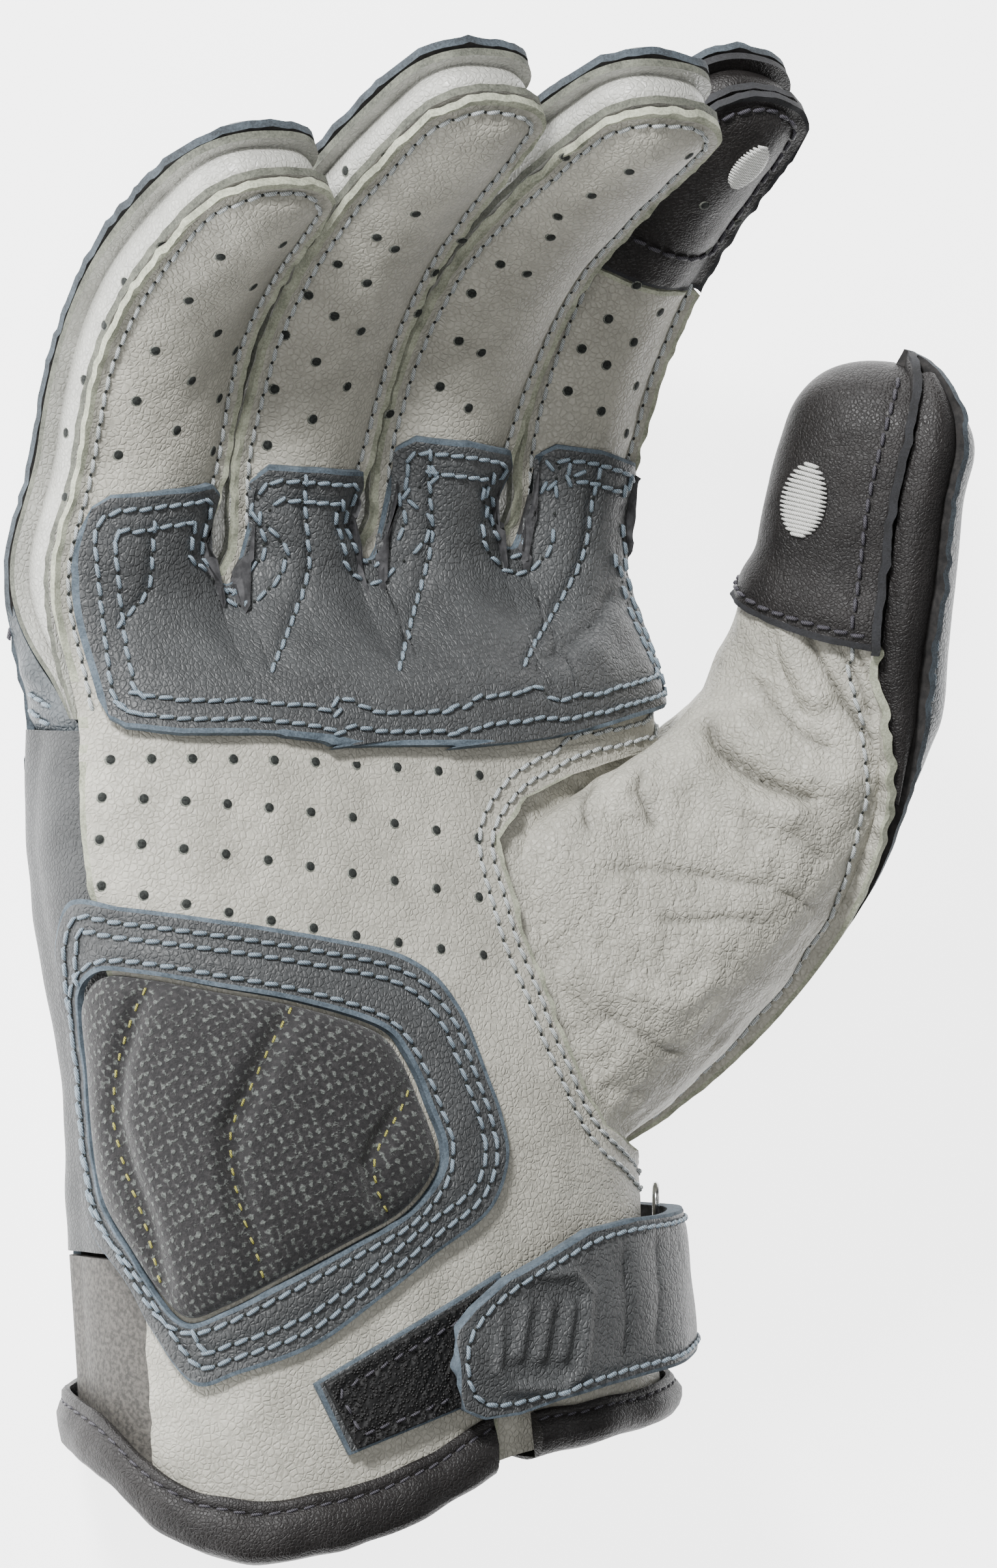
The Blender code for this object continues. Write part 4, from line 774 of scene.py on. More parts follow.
def ripple(size, height, seed, stretch=(1.0, 1.0, 1.0)):
    """Gentle unevenness: a sum of sine waves in seeded directions and phases."""
    rng = np.random.default_rng(seed)
    waves = unit(rng.normal(size=(9, 3))) / size * 2 * math.pi * rng.uniform(0.6, 1.6, (9, 1))
    waves = waves * np.array(stretch)
    phase = rng.uniform(0, 2 * math.pi, 9)

    def relief(points, normal):
        """height / 4 * sum of sin(wave . point + phase)."""
        return np.sin(points @ waves.T + phase).sum(1) * height / 4.0
    return relief


# ---- small repeated shapes ----


def stitches(points, ahead, normal, length=0.0021, radius=0.00034, slant=0.12, height=0.00012):
    """Thread stitches: five rings of six points along each, thinner and sunk at both ends."""
    side = np.cross(normal, ahead)
    c, s = math.cos(slant), math.sin(slant)
    ahead, side = ahead * c + side * s, side * c - ahead * s
    along = np.array([-0.5, -0.36, 0.0, 0.36, 0.5])[:, None]
    size = np.array([0.45, 0.9, 1.0, 0.9, 0.45])[:, None] * radius
    rise = np.array([-0.00030, 0.00002, 0.0, 0.00002, -0.00030])[:, None] + height
    turn = np.arange(6) * math.pi / 3
    local = np.stack([along * length + 0 * turn, size * np.cos(turn), rise + size * np.sin(turn)], -1)
    frame = np.stack([ahead, side, normal], 1)
    verts = points[:, None, None] + np.einsum("rsk,nkj->nrsj", local, frame)
    ends = [[0, 3, 2, 1], [0, 5, 4, 3], [24, 25, 26, 27], [24, 27, 28, 29]]
    one = np.concatenate([grid(5, 6, closed=True), ends])
    faces = (one[None] + np.arange(len(points))[:, None, None] * 30).reshape(-1, 4)
    return verts.reshape(-1, 3), faces


def domes(points, ahead, normal, size, lift, shift=(0.0, 0.0)):
    """Low round spots: a raised middle and a ring of twelve points sunk under the leather."""
    side = np.cross(normal, ahead)
    turn = np.arange(12) * math.pi / 6
    local = np.stack([size * np.cos(turn), size * np.sin(turn), np.full(12, -0.00006)], -1)
    inner = np.stack([size * 0.86 * np.cos(turn), size * 0.86 * np.sin(turn), np.full(12, lift)], -1)
    local = np.concatenate([local, inner, [[0.0, 0.0, lift]]]) + np.array([shift[0], shift[1], 0.0])
    verts = points[:, None] + np.einsum("sk,nkj->nsj", local, np.stack([ahead, side, normal], 1))
    k = np.arange(0, 12, 2)
    cap = np.stack([np.full(6, 24), 12 + k, 12 + (k + 1) % 12, 12 + (k + 2) % 12], -1)
    one = np.concatenate([grid(2, 12, closed=True), cap])
    return verts.reshape(-1, 3), (one[None] + np.arange(len(points))[:, None, None] * 25).reshape(-1, 4)


def joined(parts):
    """One mesh of several (points, faces) pairs."""
    shift, verts, faces = 0, [], []
    for p, f in parts:
        verts.append(p)
        faces.append(f + shift)
        shift += len(p)
    return np.concatenate(verts), np.concatenate(faces)


def place(name, points, faces, looks, slot, nodes=(), index=None, uv=None, sharp=None):
    """Object in the CAD's frame: its mesh, looks, body and the nodes it stands for. The slot argument is not
    used.
    """
    mesh = bpy.data.meshes.new(name)
    flat = np.asarray(faces)
    mesh.vertices.add(len(points))
    mesh.vertices.foreach_set("co", (points - ORIGIN).astype(np.float32).ravel())
    mesh.loops.add(flat.size)
    mesh.loops.foreach_set("vertex_index", flat.astype(np.int32).ravel())
    mesh.polygons.add(len(flat))
    mesh.polygons.foreach_set("loop_start", np.arange(0, flat.size, 4, dtype=np.int32))
    mesh.polygons.foreach_set("use_smooth", np.ones(len(flat), bool))
    for look in looks:
        mesh.materials.append(look)
    if index is not None:
        mesh.polygons.foreach_set("material_index", index.astype(np.int32))
    mesh.update(calc_edges=True)
    if uv is not None:
        layer = mesh.uv_layers.new(name="metres")
        layer.data.foreach_set("uv", uv[flat.ravel()].astype(np.float32).ravel())
    mesh.validate()
    if sharp:
        mesh.set_sharp_from_angle(angle=math.radians(sharp))
    piece = bpy.data.objects.new(name, mesh)
    bpy.context.scene.collection.objects.link(piece)
    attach(piece, "root")
    if nodes:
        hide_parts(*nodes)
    return piece


WAITING = []


def leather_piece(*piece, **options):
    """Node, slot, sheet and looks of a piece, made once its stitches have sunk in."""
    WAITING.append((piece, options))


def make_leather(node, slot, sheet, looks, wall=WALL, kind="leather"):
    """Solid of a sheet: the sheet, its copy one wall below, and a rim round every open edge."""
    sheet.press()
    count = len(sheet.points)
    inner = sheet.points - sheet.base_normal * wall
    a, b = open_edges(sheet.faces, count)
    rim = np.stack([b, a, a + count, b + count], -1)
    points = np.concatenate([sheet.points, inner])
    faces = np.concatenate([sheet.faces, rim, sheet.faces[:, ::-1] + count])
    index = np.repeat([0, 1, 2], [len(sheet.faces), len(rim), len(sheet.faces)])
    if sheet.frayed:
        c = sheet.points[sheet.faces]
        small = np.linalg.norm(np.cross(c[:, 2] - c[:, 0], c[:, 3] - c[:, 1]), axis=1) < 2.6e-6
        index[:len(sheet.faces)] = np.isin(sheet.faces, np.concatenate([a, b])).any(1) & small
    index = np.minimum(index, len(looks) - 1)
    piece = place(node + "_" + kind, points, faces, looks, slot, (node,), index, sharp=48.0)
    # painted shade of the creases, kept on the outer face's points
    crease_shades = piece.data.attributes.new("crease_shade", "FLOAT", "POINT")
    crease_shades.data.foreach_set("value", np.concatenate([sheet.crease_shade, 0 * sheet.crease_shade]).astype(np.float32))
    return piece


class Thread:
    """Rows of stitches of one thread, collected and then made one piece."""

    def __init__(self, name, look, slot):
        self.name, self.look, self.slot, self.rows, self.holes = name, look, slot, [], []

    def row(self, path, normal, *sheets, pitch=0.0025, **shape):
        """Stitches along a path that lies on the topmost of the sheets."""
        spots, ahead = resample(smooth(path), pitch)
        near = [int(np.argmin(((path - p) ** 2).sum(1))) for p in spots]
        on, up = snap(spots, normal[near], *sheets) if sheets else (spots, normal[near])
        if len(on) < 2:
            return
        ahead = np.gradient(on, axis=0)
        ahead = unit(ahead - up * np.sum(ahead * up, -1, keepdims=True))
        self.rows.append(stitches(on, ahead, up, **shape))
        if sheets:
            between = (on[:-1] + on[1:]) / 2
            quarters = (on[:-1] + between) / 2, (between + on[1:]) / 2
            sheets[0].pressed.append(np.concatenate([on, between, *quarters]))
            self.holes.append((between, ahead[:-1], up[:-1]))

    def traced(self, pixels, *sheets, **shape):
        """Stitches along a line given in photograph pixels."""
        line = np.array(pixels, float)
        run = np.concatenate([[0], np.cumsum(np.hypot(*(line[1:] - line[:-1]).T))])
        at = np.arange(0, run[-1], 8.0)
        line = np.stack([np.interp(at, run, line[:, 0]), np.interp(at, run, line[:, 1])], -1)
        path, normal = pin(smooth(line, 6), *sheets)
        self.row(path, normal, *sheets, **shape)

    def make(self):
        """One piece of all the rows."""
        points, faces = joined(self.rows)
        return place(self.name, points, faces, [self.look], self.slot)


# ---- looks ----


def colour(r, g, b):
    """Linear colour of an eight-bit screen colour."""
    c = np.array([r, g, b]) / 255.0
    return tuple(np.where(c <= 0.04045, c / 12.92, ((c + 0.055) / 1.055) ** 2.4).tolist()) + (1.0,)


class Value:
    """A shader socket that takes part in Python arithmetic by adding Math nodes."""

    def __init__(self, look, socket):
        self.look, self.socket = look, socket

    def maths(self, operation, *values):
        """A Math node of some values."""
        return self.look.node("ShaderNodeMath", {"operation": operation}, dict(enumerate(values)))

    def __add__(self, other):
        return self.maths("ADD", self, other)

    def __radd__(self, other):
        return self.maths("ADD", other, self)

    def __sub__(self, other):
        return self.maths("SUBTRACT", self, other)

    def __rsub__(self, other):
        return self.maths("SUBTRACT", other, self)

    def __mul__(self, other):
        return self.maths("MULTIPLY", self, other)

    def __rmul__(self, other):
        return self.maths("MULTIPLY", other, self)

    def between(self, low, high):
        """0 below low, 1 above high, smooth in between."""
        return self.look.node("ShaderNodeMapRange", {"interpolation_type": "SMOOTHSTEP", "clamp": True},
                              {"Value": self, "From Min": low, "From Max": high})


class Look:
    """A material whose nodes come from one method."""

    def __init__(self, name, **finish):
        self.material = bpy.data.materials.new(name)
        self.material.use_nodes = True
        self.tree = self.material.node_tree
        self.shader = self.tree.nodes["Principled BSDF"]
        for socket, value in finish.items():
            self.set(socket.replace("_", " "), value)

    def node(self, kind, settings=None, inputs=None, output=0):
        """A node of a kind: its settings first, then the values or links of its sockets."""
        made = self.tree.nodes.new(kind)
        for key, value in (settings or {}).items():
            setattr(made, key, value)
        for key, value in (inputs or {}).items():
            self.feed(made.inputs[key], value)
        return Value(self, made.outputs[output])

    def feed(self, socket, value):
        """A link where the value is a socket, and otherwise a plain value."""
        if isinstance(value, Value):
            self.tree.links.new(value.socket, socket)
        else:
            socket.default_value = value

    def set(self, socket, value):
        """Feed a socket of the shader."""
        self.feed(self.shader.inputs[socket], value)

    def place(self, scale=1.0, stretch=(1.0, 1.0, 1.0), turn=(0.0, 0.0, 0.0), source="Object"):
        """Coordinates of the piece, turned and scaled."""
        where = self.node("ShaderNodeTexCoord", output=source)
        scales = tuple(scale * k for k in stretch)
        return self.node("ShaderNodeMapping", {}, {"Vector": where, "Scale": scales, "Rotation": turn})

    def noise(self, where, detail=4.0, rough=0.55):
        """Fractal noise, one cell to a unit of its place."""
        return self.node("ShaderNodeTexNoise", {}, {"Vector": where, "Scale": 1.0, "Detail": detail,
                                                    "Roughness": rough})

    def cells(self, where, feature="F1"):
        """Voronoi cells; the feature says which distance they give."""
        return self.node("ShaderNodeTexVoronoi", {"feature": feature}, {"Vector": where, "Scale": 1.0})

    def mix(self, share, low, high):
        """Colour low * (1 - share) + high * share."""
        return self.node("ShaderNodeMix", {"data_type": "RGBA"}, {0: share, 6: low, 7: high}, output=2)

    def bump(self, height, depth, strength=1.0):
        """Height from 0 to 1 as relief of a depth in metres."""
        self.set("Normal", self.node("ShaderNodeBump", {}, {"Height": height, "Distance": depth,
                                                            "Strength": strength}))


WRINKLES = ((90.0, 1.1), (190.0, 1.0), (420.0, 0.8))      # cells to a metre, strength


def leather(name, dark, light, grain=1050.0, relief=0.00009, rough=0.5, wrinkle=0.0,
            stretch=(1.0, 1.0, 1.0), gloss=0.5):
    """Grained leather: pebbles are Voronoi cells warped by noise, darker in their valleys; creases take
    painted shade from a mesh attribute.
    """
    look = Look(name, Roughness=rough)
    broad = look.noise(look.place(38.0), 5.0)
    middle = look.noise(look.place(190.0), 4.0)
    drift = look.node("ShaderNodeTexNoise", {},
                      {"Vector": look.place(grain * 0.55), "Scale": 1.0, "Detail": 2.0}, output=1)
    warp = look.node("ShaderNodeVectorMath", {"operation": "MULTIPLY_ADD"},
                     {0: drift, 1: (0.9, 0.9, 0.9), 2: look.place(grain, stretch)})
    cell = look.cells(warp, "DISTANCE_TO_EDGE").between(0.0, 0.22)
    fine = look.noise(look.place(grain * 2.6), 3.0)
    shade = broad * 0.5 + middle * 0.45 + fine * 0.3 + cell * 0.1
    crease_shade = look.node("ShaderNodeAttribute", {"attribute_name": "crease_shade"}, output=2)
    ground = look.mix(shade.between(0.35, 1.05), dark, light)
    # painted shade: crease dips darken the colour towards a quarter of the dark tone
    look.set("Base Color", look.mix(crease_shade * 0.5, ground, tuple(k * 0.25 for k in dark[:3]) + (1.0,)))
    look.set("Roughness", rough + 0.14 - cell * 0.1 - broad * 0.1)
    look.set("Specular IOR Level", gloss)
    height = cell * 0.9 + fine * 0.4 + middle * 1.0
    for size, strength in WRINKLES if wrinkle else ():
        vein = look.noise(look.place(size, (1.0, 0.55, 1.0), (0.0, 0.0, 0.6)), 3.0) - 0.5
        height = height + vein.maths("ABSOLUTE", vein).between(0.0, 0.05) * (strength * wrinkle)
    look.bump(height, relief)
    return look.material


def raw_edge(name, dark, light):
    """Cut leather edge: loose fibres as fine noise over a mottled ground."""
    look = Look(name, Roughness=0.85)
    fibre = look.noise(look.place(2600.0), 5.0, 0.7)
    broad = look.noise(look.place(300.0), 3.0)
    look.set("Base Color", look.mix((fibre * 0.7 + broad * 0.5).between(0.35, 0.85), dark, light))
    look.bump(fibre, 0.00012)
    return look.material


def thread_look(name, dark, light, rough=0.6):
    """Twisted thread: slanting stripes in object space, softened by noise."""
    look = Look(name, Roughness=rough)
    ply = look.node("ShaderNodeTexWave", {"bands_direction": "DIAGONAL"},
                    {"Vector": look.place(1500.0), "Scale": 1.0, "Distortion": 3.0, "Detail": 1.0})
    fuzz = look.noise(look.place(2200.0), 3.0)
    look.set("Base Color", look.mix((ply * 0.6 + fuzz * 0.5).between(0.25, 0.8), dark, light))
    look.bump(ply, 0.00006)
    return look.material


def plain_look(name, dark, light, size, rough, depth, metal=0.0):
    """Even finish broken up by noise in colour, roughness and height."""
    look = Look(name, Metallic=metal)
    spots = look.noise(look.place(size), 4.0)
    look.set("Base Color", look.mix(spots.between(0.35, 0.65), dark, light))
    look.set("Roughness", rough + 0.15 - spots * 0.3)
    look.bump(spots, depth)
    return look.material


def knit_look():
    """Speckled knit on the pad's own metres: crosses of pale yarn on a dark ground, in a lattice
    turned by 45 degrees, each cross two sine bands that meet."""
    look = Look("speckled_knit", Roughness=0.8)
    where = look.place(1.0, (1.0, 1.0, 1.0), (0.0, 0.0, 0.35), "UV")
    parts = look.node("ShaderNodeSeparateXYZ", {}, {0: where})
    along = Value(look, parts.socket.node.outputs[1])
    step = 2 * math.pi / 0.0021
    a = (parts * step).maths("SINE", parts * step)
    b = (along * step).maths("SINE", along * step)
    yarn = look.node("ShaderNodeTexNoise", {}, {"Vector": look.place(1500.0), "Scale": 1.0, "Detail": 4.0})
    spot = (a * b * 0.5 + 0.5 + (yarn - 0.5) * 2.6).between(0.62, 1.0)
    rib = look.noise(look.place(3200.0), 2.0)
    tone = look.mix(rib.between(0.35, 0.7), colour(56, 60, 57), colour(100, 105, 101))
    ground = look.mix(yarn.between(0.35, 0.7), colour(14, 13, 15), colour(38, 36, 37))
    look.set("Base Color", look.mix(spot, ground, tone))
    look.set("Sheen Weight", 0.15)
    look.bump(spot * 1.0 + rib * 0.5 + yarn * 0.4, 0.00022)
    return look.material


def tape_look():
    """Loop tape: a tangle of fine black loops, glossy on their crowns, where the colour is also painted
    lighter as a painted sheen.
    """
    look = Look("black_loops")
    loops = look.cells(look.place(2100.0), "F1")
    fuzz = look.noise(look.place(4000.0), 3.0)
    crown_and_sheen = 1 - (loops + fuzz * 0.4).between(0.2, 0.75)
    # painted sheen: the crowns are painted lighter; the roughness and bump follow them too
    look.set("Base Color", look.mix(crown_and_sheen, colour(4, 4, 5), colour(30, 28, 27)))
    look.set("Roughness", 0.62 - crown_and_sheen * 0.25)
    look.bump(crown_and_sheen, 0.0003)
    return look.material


# ---- the pieces ----
CAP_START = 0.60           # index tip cap: share of the finger
PANEL_ROWS = (0.268, 0.374, 0.379, 0.383, 0.387, 0.392, 0.400, 0.427, 0.703, 0.743, 0.765, 0.777, 0.785,
              0.789, 0.793, 0.799, 0.808, 0.818, 1.0)
TIGHT = (3.93, 3.965, 3.988, 3.997)    # strip positions of those columns
SLIT_ANGLE = 86.73         # wrist slit, degrees round the wrist


def fine_rows(knots, step):
    """All the knots, with even steps between them."""
    parts = [np.linspace(a, b, max(int(round((b - a) / step)), 1) + 1)[:-1]
             for a, b in zip(knots[:-1], knots[1:])]
    return np.concatenate(parts + [[knots[-1]]])


def strip_columns(count):
    """Shares across one strip, and strip positions across all four, shared at the crotches."""
    q = np.linspace(-1, 1, count)
    return q, np.concatenate([i + (q[:-1] + 1) / 2 for i in range(4)] + [[4.0]])


def panel(face, rows, count, fingers, low, cut=None):
    """Palm or back leather: rows across the whole hand, then a strip up each finger from the
    same crotch points, and rows below down to the cuff edge for the first low columns."""
    q, u = strip_columns(count)
    n = len(u)
    # towards the crotches the last columns close up beside the index finger's edge
    tight = u.copy()
    tight[-len(TIGHT) - 1:-1] = TIGHT
    U = u + (tight - u) * (1 - ease((rows[:, None] - 0.80) / 0.1))
    near_top = ease((rows[:, None] - 0.78) / 0.22)
    level = rows[:, None] * PALM_LENGTH + (crotch_level(U) - PALM_LENGTH) * near_top
    blocks = [(sheet(U, level, face, 0.0), sheet(U, level, face, 1e-4))]
    faces = [grid(len(rows), n)]
    total = len(rows) * n
    last = (len(rows) - 1) * n
    for i in range(4):
        finger = HAND[NAMES[i]]
        uu = i + (q + 1) / 2
        reach = finger.root[1] + tip_reach(finger, q)
        v = np.linspace(0, 1, fingers)[1:]
        if cut is not None and i == 3:
            v = fine_rows((v[0], cut), 1.0 / fingers)
        b = np.stack([tip_row(finger, crotch_level(uu), reach, k) for k in v])
        U = np.broadcast_to(uu, b.shape)
        blocks.append((sheet(U, b, face, 0.0, strip=i), sheet(U, b, face, 1e-4, strip=i)))
        first = last + i * (count - 1) + np.arange(count)
        here = total + np.arange(count)
        faces.append(np.stack([first[:-1], first[1:], here[1:], here[:-1]], -1))
        faces.append(grid(len(v), count, start=total))
        total += len(v) * count
    uu = u[:low]
    tau = (front_tau if face > 0 else back_tau)(uu, np.zeros(low))
    k = np.linspace(1, 0, 24)[:-1, None]
    top = rows[0] * PALM_LENGTH
    b = top + (cuff_edge(tau) - top) * k
    T = np.broadcast_to(tau, b.shape)
    blocks.append((palm(T, b, 0.0), palm(T, b, 1e-4)))
    faces.append(grid(len(b), low, start=total))
    end = total + (len(b) - 1) * low + np.arange(low)
    here = np.arange(low)
    faces.append(np.stack([end[:-1], end[1:], here[1:], here[:-1]], -1))
    points = np.concatenate([a.reshape(-1, 3) for a, _ in blocks])
    lifted_points = np.concatenate([a.reshape(-1, 3) for _, a in blocks])
    return points, lifted_points - points, np.concatenate(faces)


def outwards(points, faces):
    """Faces of a closed shape turned so that its signed volume is positive."""
    a, b, c, d = (points[faces[:, k]] for k in range(4))
    volume = np.sum(a * np.cross(b, c)) + np.sum(a * np.cross(c, d))
    return faces if volume > 0 else faces[:, ::-1]


def band_points(i, web=9, fine=4):
    """Channel-shaped side band of a finger: lips under both panels' seam edges, a web between
    them that swells a little. Returns loops of points once round the finger's edge."""
    front, back, share, tip_count = band_path(i, fine)
    run = back - front
    depth = np.linalg.norm(run, axis=1, keepdims=True)
    down = run / depth
    out = unit(np.cross(np.gradient(front + back, axis=0), down))
    tip = int(np.argmax(share)) + tip_count // 2
    spine = HAND[NAMES[i]].at(HAND[NAMES[i]].length * 0.7, 0.0, 0.0)
    if float(out[tip] @ (front[tip] - spine)) < 0:
        out = -out
    t = np.minimum(WALL, 0.17 * depth)
    c = np.minimum(WALL + GAP, 0.25 * depth)
    low, high = front + down * (c + t), back - down * (c + t)
    swell = 0.0009
    k = np.linspace(0, 1, web)[:, None, None]
    inner = (low + (high - low) * k) - out * (SEAM_EDGE - swell * np.sin(math.pi * k))
    outer = (front + down * c) + (back - down * c - front - down * c) * (1 - k)
    outer = outer - out * (SEAM_EDGE + t - swell * 0.6 * np.sin(math.pi * k))
    wave = 0.00012 * np.sin(np.arange(len(share)) * 2.1)[:, None]
    loops = np.concatenate([
        (front + down * c - out * (0.0001 + wave))[None], (low - out * (0.0001 + wave))[None],
        inner, (high - out * 0.0001)[None], (back - down * c - out * 0.0001)[None], outer])
    return np.moveaxis(loops, 0, 1), share, tip


def band_piece(node, i, look, edge, slot, first=-1.0, last=2.0, half=0):
    """Closed solid of a side band between two shares of the finger, or of one half of it."""
    loops, share, tip = band_points(i)
    order = np.arange(len(share))
    keep = (share >= first) & (share <= last)
    if half:
        keep &= (order - tip) * half > 0
    loops = loops[keep]
    rows, columns = loops.shape[:2]
    points = loops.reshape(-1, 3)
    faces = grid(rows, columns, closed=True)
    k = np.arange(2, 10)
    cap = np.concatenate([[[0, 1, 2, 21]], np.stack([k, k + 1, 22 - k, 23 - k], -1), [[10, 11, 12, 13]]])
    every = outwards(points, np.concatenate([faces, cap[:, ::-1], cap + (rows - 1) * columns]))
    rim = np.zeros(len(every), int)
    rim[:len(faces)] = np.isin(np.tile(np.arange(columns), rows - 1), (0, 11))
    place(node + "_leather", points, every, [look, edge], slot, (node,), rim, sharp=48.0)
    return Sheet(points, face_normals(points, every), every)


def thumb_tip(psi, v, h=0.0):
    """Thumb leather with its tip closed: past the last lifted row it follows the bare spine."""
    v = np.asarray(v, float)
    return thumb(psi, v, h) + thumb_base(psi, v) - thumb_base(psi, np.minimum(v, 0.9985))


LIP_STEPS = (0.72, 1.0)    # heights of the columns of a standing seam edge, shares of SEAM_EDGE


def thumb_columns(start, stop, v, around, lips, h):
    """Angles and heights across a thumb piece: even steps between its two seam lines, and a
    seam edge standing up along the chosen sides."""
    k = np.linspace(0, 1, around)[None, :]
    lo, hi = start(v)[:, None], stop(v)[:, None]
    psi = lo + (hi - lo) * k
    height = np.full_like(psi, h)
    for side, column in zip(lips, (lo, hi)):
        for share in LIP_STEPS if side else ():
            psi = np.concatenate([column, psi][::-side], 1)
            height = np.concatenate([0 * column + h + SEAM_EDGE * share, height][::-side], 1)
    return psi, height


def thumb_sheet(start, stop, v, around, lips, *reliefs, h=0.0, round_edge=0.0, frill=0.0):
    """Sheet of the thumb between two seam lines; where it starts at the base, a row is tucked
    under the palm panel there."""
    psi, height = thumb_columns(start, stop, v, around, lips, h)
    V = np.broadcast_to(v[:, None], psi.shape)
    points = thumb_tip(psi, V, height)
    outward = thumb_tip(psi, V, height + 1e-4) - points
    if v[0] <= 0:
        turn = np.mod(psi[0], 2 * math.pi)
        points[0] = thumb_root(turn, -UNDER - 0.0004)
        tuck = thumb_root(turn, -UNDER - 0.0006, 1.04)
        points = np.concatenate([tuck[None], points])
        outward = np.concatenate([outward[:1], outward])
    return Sheet(points, outward, grid(*points.shape[:2]), *reliefs, round_edge=round_edge, frill=frill)


def seams(column, shift=0.0):
    """Angle of a seam of the thumb by its share v, straight between the rows of THUMB_SEAMS."""
    rows = list(zip(*THUMB_SEAMS))
    return lambda v: np.radians(np.interp(v, rows[0], rows[column])) + shift


CLEAR = 0.045              # angle kept between neighbouring thumb pieces, radians


def inner_line(side):
    """Edge on the finger side of the thumb, a constant: side -1 of the front, 1 of the back."""
    return lambda v: math.radians(THUMB_INNER) + side * CLEAR * 2.0 + 0 * v


def cuff_sheet(low_angle, high_angle, top, h, columns, rows, *reliefs):
    """Piece of the cuff: angles round the wrist across, from the cuff edge up to a level."""
    tau = np.radians(np.linspace(low_angle, high_angle, columns))
    k = np.linspace(0, 1, rows)[:, None]
    low = cuff_edge(tau)
    B = low + (top * PALM_LENGTH - low) * k
    T = np.broadcast_to(tau, B.shape)
    height = h(np.degrees(T)) if callable(h) else h + 0 * T
    return surface_sheet(palm, T, B, *reliefs, h=height)


def strip_rise(tau):
    """Depth of the stretch strip: under the palm panel, flush with the back panel."""
    return -UNDER * (1 - ease((tau - 198) / 14))


def flap_tuck(tau):
    """How far the flap dips under the palm panel, by angle in degrees."""
    return -UNDER * ease((tau - 62) / 24)


BINDING_HEIGHT = 0.0078
BINDING_TURNS = (-10, 60, 90, 120, 190, 240, 352)          # degrees round the wrist
FLAP_END = -7.4            # thumb side end of the flap, degrees round the wrist


def binding_loops(tau, height, sink=0.0):
    """Folded edging over the cuff edge: a closed profile of height above the leather and level
    past the edge, carried round the wrist; its outer face is rounded."""
    height = np.interp(tau, BINDING_TURNS, height) * BINDING_HEIGHT
    tau = np.radians(tau)
    edge = cuff_edge(tau)
    top, under = 0.0009, -(2 * WALL + GAP) - 0.0010
    profile = [
        (1.0, 0.0, top), (1.0, 0.0002, top + 0.0007), (1.0, -0.0003, top + 0.0012),
        (0.86, 0.0, top + 0.0013), (0.80, 0.0, top + 0.0011), (0.72, 0.0, top + 0.0017),
        (0.5, 0.0, top + 0.0022), (0.25, 0.0, top + 0.0021), (0.0, 0.0002, top + 0.0017),
        (0.0, -0.0006, top + 0.0010), (0.0, -0.0010, 0.0004), (0.0, -0.0012, -0.0008),
        (0.0, -0.0012, -0.0020), (0.0, -0.0010, under - 0.0009), (0.0, -0.0002, under - 0.0014),
        (0.8, 0.0, under - 0.0011), (0.8, 0.0, under), (0.4, 0.0, under), (0.0, -0.0008, under),
        (0.0, -0.0008, top),
    ]
    return np.stack([palm(tau, edge + height * share + shift, h + sink + 0 * tau)
                     for share, shift, h in profile], 1)


def binding_piece(node, tau, height, look, sink=0.0):
    """Closed solid of the edging, and the line of the groove that its stitches lie in."""
    loops = binding_loops(tau, height, sink)
    uneven = ripple(0.009, 0.00022, 11)
    points = loops.reshape(-1, 3)
    rows, columns = loops.shape[:2]
    out = unit(points - np.repeat(loops.mean(1), columns, 0))
    points = points + out * uneven(points, out)[:, None]
    faces = grid(rows, columns, closed=True)
    cap = np.array([[0, 1, 2, 3], [0, 3, 4, 5], [0, 5, 6, 19], [19, 6, 7, 8], [19, 8, 9, 10],
                    [19, 10, 11, 18], [18, 11, 12, 13], [18, 13, 14, 17], [17, 14, 15, 16]])
    every = outwards(points, np.concatenate([faces, cap[:, ::-1], cap + (rows - 1) * columns]))
    place(node + "_leather", points, every, [look], "black_leather", (node,), sharp=60.0)
    groove = points.reshape(rows, columns, 3)[:, 4]
    return Sheet(points, face_normals(points, every), every), groove


def outline(rows, turn):
    """Closed smooth outline through a table of (angle about the middle, angle, along)."""
    turns, angle, along = table(rows, "turn", "angle", "along")
    wrap = np.concatenate([turns[-3:] - 360, turns, turns[:3] + 360])
    t = np.asarray(turn, float) % 360.0
    return (curve(wrap, np.concatenate([angle[-3:], angle, angle[:3]]), t),
            curve(wrap, np.concatenate([along[-3:], along, along[:3]]), t))


# Heel pad's frame, outside and inside: turn about its middle, angle round the palm, share along.
FRAME_OUT = (
    (0, 81.5, 0.41), (18, 86, 0.49), (34, 90.5, 0.55), (50, 98, 0.59), (68, 112, 0.61), (90, 132, 0.628),
    (112, 152, 0.640), (130, 168, 0.645), (146, 177, 0.600), (165, 182.5, 0.50), (185, 183.5, 0.42),
    (205, 179, 0.34), (222, 166, 0.29), (238, 157, 0.235), (254, 148, 0.193), (272, 137, 0.203),
    (290, 121, 0.228), (308, 108, 0.270), (326, 97, 0.310), (344, 85, 0.355),
)
FRAME_IN = (
    (0, 94.5, 0.41), (18, 97.5, 0.46), (34, 100.5, 0.50), (50, 104.5, 0.525), (68, 117, 0.548),
    (90, 133, 0.564), (112, 150, 0.578), (130, 163, 0.580), (146, 171.5, 0.555), (165, 175.0, 0.49),
    (185, 175.5, 0.42), (205, 172, 0.36), (222, 163.5, 0.315), (238, 156, 0.273), (254, 149, 0.250),
    (272, 139, 0.262), (290, 126, 0.289), (308, 112, 0.322), (326, 101.5, 0.350), (344, 95.5, 0.385),
)
PAD_CENTRE = (134.0, 0.415)
